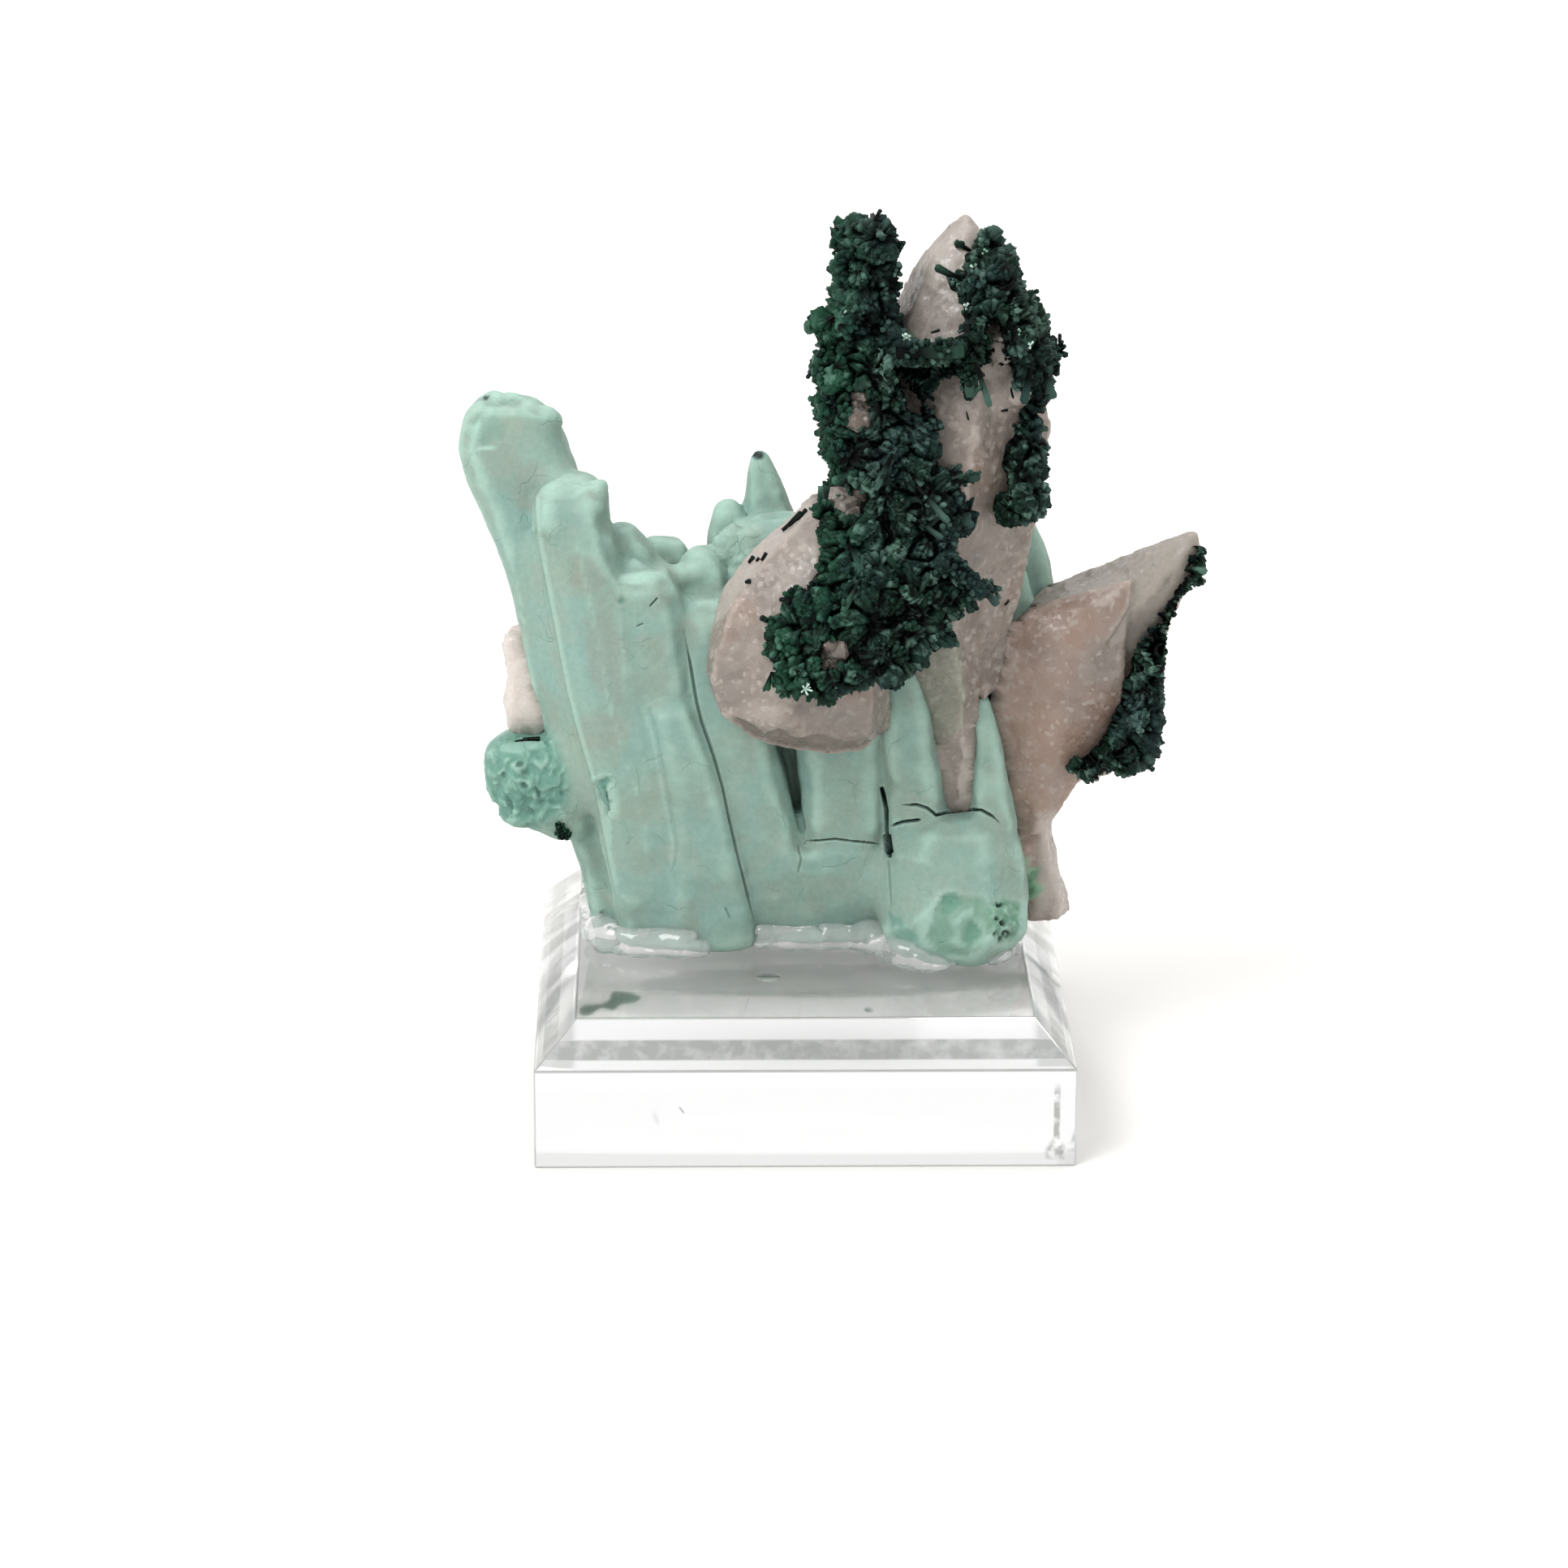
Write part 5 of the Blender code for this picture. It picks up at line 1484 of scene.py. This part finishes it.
@dataclass
class Accents:
    """Single small things that the photograph shows: flecks of malachite, a pale star, painted highlights and quartz
    in the crust.
    """

    seed: int = 31
    flecks: tuple = (
        ((966, 654), (978, 645), 0.24), ((974, 648), (987, 636), 0.3), ((985, 639), (994, 631), 0.18),
        ((924, 694), (932, 690), 0.2), ((940, 691), (944, 683), 0.2), ((920, 718), (927, 719), 0.2),
        ((933, 692), (938, 691), 0.16), ((636, 914), (648, 911), 0.12), ((646, 912), (662, 907), 0.2),
        ((1234, 506), (1241, 506), 0.1), ((1191, 508), (1193, 516), 0.08), ((1148, 410), (1157, 408), 0.12),
        ((1246, 480), (1250, 492), 0.1), ((1238, 745), (1243, 741), 0.1),
    )
    clumps: tuple = (((694, 1024), 0.55, 18), ((690, 1016), 0.4, 9))
    star: tuple = ((990, 849), 0.5, 8)
    mint: tuple = ((1115, 416), 0.35, 9)
    painted_glints: tuple = ((1040, 386), (1200, 330), (1213, 313), (1190, 378), (1258, 410), (1270, 425))

    def build(self, rock: BVHTree, everything: BVHTree) -> list[bpy.types.Object]:
        """Makes the pieces on the surfaces that carry them.

        Args:
            rock: the chrysocolla and the quartz.
            everything: the same with the crusts.

        Returns:
            The pieces.
        """
        draw = random.Random(self.seed)
        places: list[Matrix] = []
        tones: list[float] = []
        for start, end, radius in self.flecks:
            found = LENS.hit(rock, start)
            if found is None:
                continue
            way = LENS.flat_step(found[0], start, end)
            way -= found[1] * way.dot(found[1])
            lifted = found[0] - way * 0.1 + found[1] * radius * 0.5
            places.append(standing(lifted, way, radius, way.length * 1.2, 0.3))
            tones.append(0.0)
        for pixel, radius, count in self.clumps:
            self.rosette(everything, pixel, radius, count, (0.12, 0.2), (0.0, 0.5), draw, places, tones)
        self.rosette(everything, self.star[0], self.star[1], self.star[2], (0.05, 0.08), (1.0, 1.0), draw, places, tones)
        self.rosette(everything, self.mint[0], self.mint[1], self.mint[2], (0.1, 0.2), (1.0, 1.0), draw, places, tones)
        # Painted highlights: tiny rosettes in the lightest tones.
        for pixel in self.painted_glints:
            self.rosette(everything, pixel, 0.3, 3, (0.08, 0.12), (0.97, 1.0), draw, places, tones)
        flecks = gathered("malachite_flecks", rod_master(), places, tones)
        flecks.data.materials.append(FibrousMalachite().build())
        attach(flecks, BODY)
        places, tones = [], []
        for window in WINDOWS:
            for _ in range(10):
                pixel = (window.centre[0] + draw.uniform(-0.8, 0.8) * window.radii[0],
                         window.centre[1] + draw.uniform(-0.8, 0.8) * window.radii[1])
                found = LENS.hit(everything, pixel)
                if found is not None:
                    way = (LENS.axes()[2] + Vector([draw.gauss(0, 0.3) for _ in range(3)])).normalized()
                    size = draw.uniform(0.55, 0.95)
                    places.append(standing(found[0] - way * 1.25, way, size, draw.uniform(1.5, 1.9), draw.uniform(0, 6.28)))
                    tones.append(0.0)
        points = gathered("quartz_points_in_crust", crystal_master(), places, tones)
        dim = DrusyQuartz("#6E665F", "#605852", "#76675E", "#9A928B")
        points.data.materials.append(dim.build("drusy_quartz_points", 0.1))
        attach(points, BODY)
        return [flecks, points]

    def rosette(self, tree: BVHTree, pixel: Pixel, size: float, count: int, radii: tuple, shades: tuple,
                draw: random.Random, places: list, tones: list) -> None:
        """Adds rods that radiate from the place that a pixel shows."""
        found = LENS.hit(tree, pixel)
        if found is None:
            LOG.warning("nothing under pixel %s", pixel)
            return
        side = found[1].orthogonal().normalized()
        for index in range(count):
            tilt = math.radians(86) * math.sqrt((index + 0.5) / count)
            around = Matrix.Rotation(index * GOLDEN_ANGLE, 3, found[1])
            way = around @ (Matrix.Rotation(tilt, 3, side) @ found[1])
            foot = found[0] + found[1] * size * 0.2
            places.append(standing(foot, way, draw.uniform(*radii), size * draw.uniform(0.8, 1.15), 0.0))
            tones.append(draw.uniform(*shades))


@dataclass
class DisplayBlock:
    """The clear acrylic block: a square slab, bevelled round its top, with finely broken edges."""

    edge: float = 0.12
    bevel: float = 2.9

    def build(self) -> bpy.types.Object:
        """Makes the piece that stands for the block."""
        low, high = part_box("acrylic_block")
        side = high.x - low.x
        height = high.z - low.z
        deselect()
        wall = height - self.bevel * MM
        bpy.ops.mesh.primitive_cube_add(size=1.0, location=(0, 0, wall / 2), scale=(side, side, wall))
        piece = start_piece("polished_block")
        share = 1 - 2 * self.bevel * MM / side
        bpy.ops.object.mode_set(mode="EDIT")
        select_faces(piece, lambda face: face.normal.z > 0.5)
        bpy.ops.mesh.extrude_region_move(TRANSFORM_OT_translate={"value": (0, 0, self.bevel * MM)})
        bpy.ops.transform.resize(value=(share, share, 1), center_override=(0, 0, height))
        bpy.ops.object.mode_set(mode="OBJECT")
        piece.data.materials.append(ClearCast("cast_acrylic_polished", 1.49, 0.012, painted_reflection_band=(7.85, 8.85)).build())
        piece.data.materials.append(ClearCast("cast_acrylic_broken_edge", 1.49, 0.15, "#B4B7B3").build())
        modify(piece, "BEVEL", width=self.edge * MM, segments=3, limit_method="ANGLE", material=1,
               angle_limit=math.radians(20))
        bpy.ops.object.shade_smooth_by_angle(angle=math.radians(30))
        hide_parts("acrylic_block")
        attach(piece, BODY)
        return piece


@dataclass
class GlueBead:
    """The clear glue: a glossy, lumpy bead that fills the corner between the foot and the block."""

    grain: float = 0.28
    floor_gap: float = 0.03

    def build(self) -> bpy.types.Object:
        """Makes the piece that stands for the adhesive solid."""
        piece = copy_of_solid("clear_adhesive", "glue_bead")
        modify(piece, "REMESH", mode="VOXEL", voxel_size=self.grain * MM)
        modify(piece, "SMOOTH", factor=0.5, iterations=10)
        skin = Skin(piece)
        skin.push(0.42 + unevenness(skin.points, 1.5, 8) * 0.35 + unevenness(skin.points, 0.7, 9) * 0.18)
        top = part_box("acrylic_block")[1].z / MM
        skin.points[:, 2] = np.maximum(skin.points[:, 2], top + self.floor_gap)
        skin.write()
        skin.finish()
        piece.data.materials.append(ClearCast("clear_epoxy_glue_glossy", 1.12, 0.08, "#FFFFFF", 0.2, 1.0, milk=0.17).build())
        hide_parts("clear_adhesive")
        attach(piece, BODY)
        return piece


@dataclass
class GlueDroplet:
    """The flat drop of glue that lies by itself on the block in front of the specimen."""

    pixel: Pixel = (947.0, 1205.0)
    radii: tuple[float, float, float] = (0.95, 0.85, 0.14)

    def build(self, block: BVHTree) -> bpy.types.Object:
        """Makes the drop where the photograph shows it on the block."""
        found = LENS.hit(block, self.pixel)
        place = found[0] * MM
        deselect()
        bpy.ops.mesh.primitive_uv_sphere_add(segments=32, ring_count=12, radius=MM, location=place, scale=self.radii)
        piece = start_piece("glue_droplet")
        modify(piece, "TRIANGULATE", min_vertices=5)
        piece.data.polygons.foreach_set("use_smooth", [True] * len(piece.data.polygons))
        piece.data.materials.append(ClearCast("clear_glue_droplet", 1.45, 0.1, "#A9ACA8", 0.0, 0.5).build())
        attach(piece, BODY)
        return piece


@dataclass
class Stage:
    """A plain pale floor and soft studio light."""

    floor_side: float = 4.0
    floor_colour: str = "#EBE9E6"
    world_strength: float = 1.0
    floor_drop: float = 0.03

    def build(self) -> None:
        """Adds the floor, the lights and the world."""
        deselect()
        bpy.ops.mesh.primitive_plane_add(size=self.floor_side, location=(0, 0, -self.floor_drop * MM))
        floor = start_piece("floor")
        finish = Finish("pale_matt_board")
        finish.set(Base_Color=linear(self.floor_colour), Roughness=0.7)
        floor.data.materials.append(finish.material)
        paths = bpy.context.scene.cycles
        paths.max_bounces = 24
        paths.glossy_bounces = 20
        paths.transmission_bounces = 20
        world = bpy.data.worlds.new("studio")
        bpy.context.scene.world = world
        world.use_nodes = True
        world.node_tree.nodes["Background"].inputs["Color"].default_value = (1.0, 1.0, 1.0, 1.0)
        world.node_tree.nodes["Background"].inputs["Strength"].default_value = self.world_strength
        self.softbox("key", (-0.42, -0.42, 0.7), 0.45, 5.2)
        self.softbox("top", (0.1, 0.25, 0.9), 0.7, 2.6)

    def softbox(self, name: str, place: tuple[float, float, float], size: float, power: float) -> None:
        """Adds a square area light that looks at the specimen."""
        light = bpy.data.lights.new(name, "AREA")
        light.size = size
        light.energy = power
        holder = bpy.data.objects.new(name, light)
        holder.location = place
        aim = Vector((0, 0, 0.03)) - Vector(place)
        holder.rotation_euler = aim.to_track_quat("-Z", "Y").to_euler()
        bpy.context.scene.collection.objects.link(holder)


WEDGE_MARKS = [
    Region(((1255, 752), (1300, 741), (1392, 716), (1387, 748), (1368, 788), (1400, 806), (1428, 800), (1452, 765),
            (1500, 690), (1485, 640), (1380, 672), (1290, 712)), Tone.CLEAR, 1.0, 3.0),
    Region(((1246, 1062), (1262, 1056), (1268, 1066), (1282, 1070), (1278, 1084), (1286, 1094), (1276, 1106),
            (1262, 1114), (1246, 1104)), Tone.GREEN, 0.9, 2.0, 0.12),
    Spot((1272, 1078), (5, 7), Tone.DARK, 0.25, 20.0, -0.1, 0.6),
    Spot((1269, 1098), (6, 4), Tone.DARK, 0.3, -20.0, -0.1, 0.6),
    Spot((1440, 681), (5, 4), Tone.DARK, 1.0),
    Spot((1462, 680), (5, 3), Tone.DARK, 1.0, -20.0),
    Spot((1422, 763), (5, 4), Tone.DARK, 1.0),
    Region(((1280, 1010), (1300, 1000), (1318, 1090), (1318, 1130), (1275, 1130)), Tone.PALE, 0.75, 8.0),
    Region(((1468, 662), (1480, 664), (1460, 722), (1447, 750), (1440, 748), (1452, 718)), Tone.PALE, 0.9, 2.0),
]
WEDGE_EDGES = [
    Groove(((1233, 774), (1296, 742), (1345, 728), (1393, 716), (1390, 746), (1367, 788)), 0.08, 0.06, 0.2),
]
WEDGE_LEDGES = [
    Ledge(((1360, 800), (1390, 748), (1393, 716), (1345, 728), (1296, 742), (1233, 774)), 0.22, 1.6, 0.35),
]
WEDGE_BUMPS = [
    Dab((1290, 728), 0.6, 0.3),
    Dab((1314, 720), 0.5, 0.25),
    Dab((1345, 706), 0.7, 0.35),
    Dab((1372, 697), 0.5, 0.2),
    Dab((1412, 684), 0.6, 0.2),
]
WEDGE_MERGED = [
    ((1252, 790), (1300, 760), (1360, 745), (1372, 800), (1380, 880), (1330, 1010), (1262, 1050), (1250, 900)),
]
SPINDLE_DABS = [
    Dab((1224, 428), 2.4, 2.6),
    Dab((1246, 480), 2.4, 1.9),
    Dab((1024, 806), 1.8, 1.4),
]
SPINDLE_MARKS = [
    # Painted highlights on faces of the ball and of the spindle's tip that turn to the light.
    Region(((985, 617), (1010, 625), (985, 650), (930, 705), (893, 760), (868, 780), (880, 725), (925, 670)),
           Tone.PALE, 0.55, 5.0, 0.0),
    Region(((1190, 270), (1215, 290), (1170, 330), (1130, 380), (1110, 415), (1097, 415), (1110, 360), (1150, 300)),
           Tone.PALE, 0.5, 5.0, 0.0),
    # A slightly paler band low on the ball.
    Region(((905, 880), (960, 905), (1075, 915), (1085, 880), (1060, 862), (980, 880), (930, 860)), Tone.PALE, 0.25, 8.0),
    # Painted shade on the ball's lower right and along its lower edge.
    Region(((985, 868), (1030, 880), (1085, 860), (1088, 915), (1060, 918), (1000, 912), (950, 905)), Tone.DARK, 0.22,
           8.0),
    Region(((905, 884), (925, 892), (940, 905), (960, 900), (985, 912), (1010, 905), (1040, 916), (1085, 905),
            (1085, 930), (940, 935), (900, 900)), Tone.DARK, 0.3, 2.0, -0.3),
    # Green tints from the malachite.
    Spot((1116, 414), (14, 7), Tone.GREEN, 0.35),
    Spot((1160, 850), (30, 60), Tone.GREEN, 0.16),
]
MAIN_BARE = [
    ((1213, 398), (1229, 390), (1238, 425), (1250, 455), (1262, 500), (1262, 530), (1205, 530), (1160, 520),
     (1160, 498), (1182, 490), (1196, 500), (1212, 500), (1216, 460)),
    ((1102, 453), (1178, 453), (1172, 512), (1150, 522), (1118, 505)),
    ((1012, 792), (1042, 797), (1049, 818), (1010, 826)),
]
WEDGE_BARE = [
    ((1285, 830), (1392, 830), (1388, 870), (1370, 900), (1352, 912), (1300, 926), (1285, 926)),
    ((1380, 640), (1474, 655), (1476, 676), (1466, 708), (1455, 736), (1446, 756), (1437, 782), (1430, 812),
     (1424, 822), (1418, 806), (1424, 780), (1404, 800), (1396, 830), (1380, 830)),
]
WEDGE_OUTLINES = [
    ((1472, 662), (1482, 666), (1487, 684), (1482, 702), (1470, 716), (1459, 732), (1450, 746), (1444, 760), (1438, 778),
     (1434, 798), (1433, 815), (1435, 832), (1431, 850), (1434, 876), (1429, 900), (1425, 925), (1412, 940),
     (1398, 948), (1384, 956), (1372, 950), (1355, 948), (1340, 957), (1324, 954), (1312, 944), (1309, 930),
     (1320, 916), (1338, 912), (1354, 914), (1372, 890), (1390, 860), (1397, 830), (1400, 805), (1414, 784),
     (1428, 766), (1440, 746), (1452, 724), (1464, 698), (1471, 678)),
]
FLANK_OUTLINE = ((1258, 515), (1276, 526), (1276, 536), (1287, 549), (1284, 589), (1285, 620), (1276, 638),
                 (1262, 642), (1242, 640), (1220, 625), (1228, 616), (1252, 607), (1254, 593), (1238, 577),
                 (1245, 552), (1254, 534), (1251, 521))
MAIN_OUTLINES = [
    ((1040, 272), (1062, 274), (1085, 283), (1101, 293), (1106, 306), (1124, 315), (1119, 332), (1109, 352), (1101, 393),
     (1110, 416), (1176, 420), (1174, 448), (1118, 449), (1140, 472), (1160, 496), (1152, 532), (1145, 553),
     (1166, 570), (1190, 586), (1212, 582), (1214, 590), (1208, 607), (1208, 631), (1199, 651), (1167, 675),
     (1172, 688), (1199, 708), (1221, 729), (1221, 738), (1197, 734), (1184, 750), (1175, 740), (1156, 762),
     (1168, 768), (1157, 791), (1142, 786), (1132, 802), (1140, 811), (1126, 829), (1104, 837), (1074, 836),
     (1061, 847), (1030, 854), (1020, 865), (992, 854), (972, 857), (960, 845), (962, 829), (948, 814), (936, 801),
     (937, 779), (959, 758), (959, 736), (972, 725), (1005, 725), (1010, 684), (1005, 659), (1008, 631), (1008, 602),
     (1016, 595), (1032, 592), (1050, 597), (1033, 577), (1017, 548), (1013, 532), (1020, 520), (1012, 511),
     (1007, 499), (1009, 485), (1024, 473), (1003, 466), (1001, 450), (1008, 438), (1025, 424), (1019, 413),
     (1002, 403), (1003, 395), (1024, 389), (1024, 373), (1030, 344), (1026, 311), (1030, 287)),
    ((1205, 291), (1220, 285), (1228, 297), (1243, 310), (1253, 333), (1259, 361), (1280, 379), (1284, 410),
     (1299, 427), (1298, 450), (1285, 467), (1293, 487), (1282, 480), (1270, 464), (1262, 484), (1253, 454),
     (1240, 440), (1226, 405), (1205, 393), (1212, 426), (1205, 462), (1196, 493), (1183, 481), (1172, 452),
     (1172, 418), (1182, 405), (1184, 368), (1168, 338), (1172, 328), (1192, 324), (1196, 305)),
    FLANK_OUTLINE,
]
MAIN_DABS = [
    Dab((1036, 286), 1.7, 0.7),
    Dab((1085, 292), 1.9, 1.0),
    Dab((1098, 348), 1.5, 0.6),
    Dab((1095, 385), 1.4, 0.5),
    Dab((1012, 452), 1.0, 0.45),
    Dab((1014, 395), 0.8, 0.3),
]
WINDOWS = [
    Spot((1027, 806), (21, 16), Tone.PALE, 1.0, 0.0, -1.5),
    Spot((1050, 618), (19, 20), Tone.PALE, 1.0, 0.0, -1.5),
    Spot((1062, 502), (10, 24), Tone.PALE, 1.0, 0.0, -1.1),
]
MAIN_TWIGS = [
    Twig((1104, 436), (1180, 433), 0.78, (0.6, 0.9), 90),
    Twig((1183, 345), (1155, 331), 0.32, (0.4, 0.7), 0),
    Twig((1196, 310), (1178, 300), 0.25, (0.3, 0.6), 2),
    Twig((1192, 400), (1196, 482), 0.55, (0.3, 0.5), 60),
    Twig((1202, 448), (1218, 497), 0.26, (0.4, 0.6), 3),
    Twig((1022, 402), (997, 402), 0.5, (-0.6, -0.6), 16),
    Twig((1022, 452), (1002, 450), 0.9, (-0.6, -0.6), 26),
    Twig((1026, 495), (1008, 500), 0.8, (-0.6, -0.6), 26),
    Twig((1160, 770), (1170, 795), 0.5, (0.3, 0.4), 26),
    Twig((1170, 690), (1212, 728), 0.5, (0.2, 0.4), 60),
    Twig((1208, 722), (1227, 744), 0.32, (0.4, 0.4), 0),
    Twig((1190, 715), (1196, 752), 0.36, (0.3, 0.3), 16),
    Twig((1172, 596), (1204, 588), 0.4, (0.3, 0.3), 18),
    Twig((1270, 455), (1262, 494), 0.35, (0.2, 0.4), 0),
    Twig((1285, 455), (1298, 488), 0.28, (0.2, 0.4), 0),
    Twig((1130, 600), (1165, 640), 0.3, (0.2, 0.7), 7),
    Twig((1128, 640), (1158, 662), 0.24, (0.3, 0.9), 5),
    Twig((1100, 560), (1080, 600), 0.28, (0.2, 0.6), 6),
    Twig((1120, 720), (1096, 690), 0.26, (0.2, 0.9), 5),
    Twig((1125, 735), (1118, 700), 0.24, (0.2, 0.9), 5),
    Twig((1128, 745), (1142, 710), 0.24, (0.2, 0.9), 5),
    Twig((1180, 625), (1196, 648), 0.3, (0.5, 0.8), 0),
    Twig((1045, 665), (1060, 700), 0.26, (0.2, 0.7), 6),
    Twig((1060, 715), (1040, 750), 0.26, (0.2, 0.7), 6),
]


def main() -> None:
    """Builds the pieces in order and reports each one."""
    logging.basicConfig(level=logging.INFO, format="%(message)s")
    noise.seed_set(NOISE_SEED)
    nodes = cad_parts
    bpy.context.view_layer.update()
    bpy.context.scene.view_settings.view_transform = "Standard"
    LENS.make_camera()
    Stage().build()
    rock = tree_of(nodes["chrysocolla"])
    crystals = tree_of(nodes["chrysocolla"], nodes["quartz_spindle"])
    made = [DisplayBlock().build(), GlueBead().build(), Fingers().build()]
    made.insert(2, GlueDroplet().build(tree_of(made[0])))
    spindle = QuartzSkin("quartz_spindle", "quartz_spindle_skin", 0.25, marks=SPINDLE_MARKS, dabs=SPINDLE_DABS)
    made.append(spindle.build(rock))
    wedge = QuartzSkin("quartz_wedge", "quartz_wedge_skin", 0.8, marks=WEDGE_MARKS, seams=WEDGE_EDGES,
                       ledges=WEDGE_LEDGES, merged=WEDGE_MERGED, dabs=WEDGE_BUMPS)
    made.append(wedge.build(crystals))
    made.append(QuartzSkin("quartz_left", "quartz_left_skin", 0.0, pale=0.8, light="#D3CAC3",
                           dabs=[Dab((637, 788), 1.1, 0.9)]).build(rock))
    skins = made[3:]
    hosts = tree_of(*skins)
    main_crust = MalachiteCrust("malachite_crust", "malachite_main", 21, dabs=MAIN_DABS, windows=WINDOWS,
                                bare=MAIN_BARE, outlines=MAIN_OUTLINES, top=64.2)
    made += main_crust.build(hosts, MAIN_TWIGS)
    made += MalachiteCrust("malachite_flank", "malachite_flank_tufts", 22, sizes=(0.4, 0.85),
                           outlines=[FLANK_OUTLINE]).build(hosts, [])
    made += MalachiteCrust("malachite_wedge", "malachite_wedge_tufts", 23, shrink=1.3, sizes=(0.4, 0.85),
                          bare=WEDGE_BARE, outlines=WEDGE_OUTLINES).build(hosts, [])
    made += Accents().build(tree_of(*skins), tree_of(*skins, *made[-6:]))
    for piece in made:
        piece.data.calc_loop_triangles()
        LOG.info("%s: %d triangles", piece.name, len(piece.data.loop_triangles))
    bpy.context.view_layer.update()


if __name__ == "__main__":
    main()
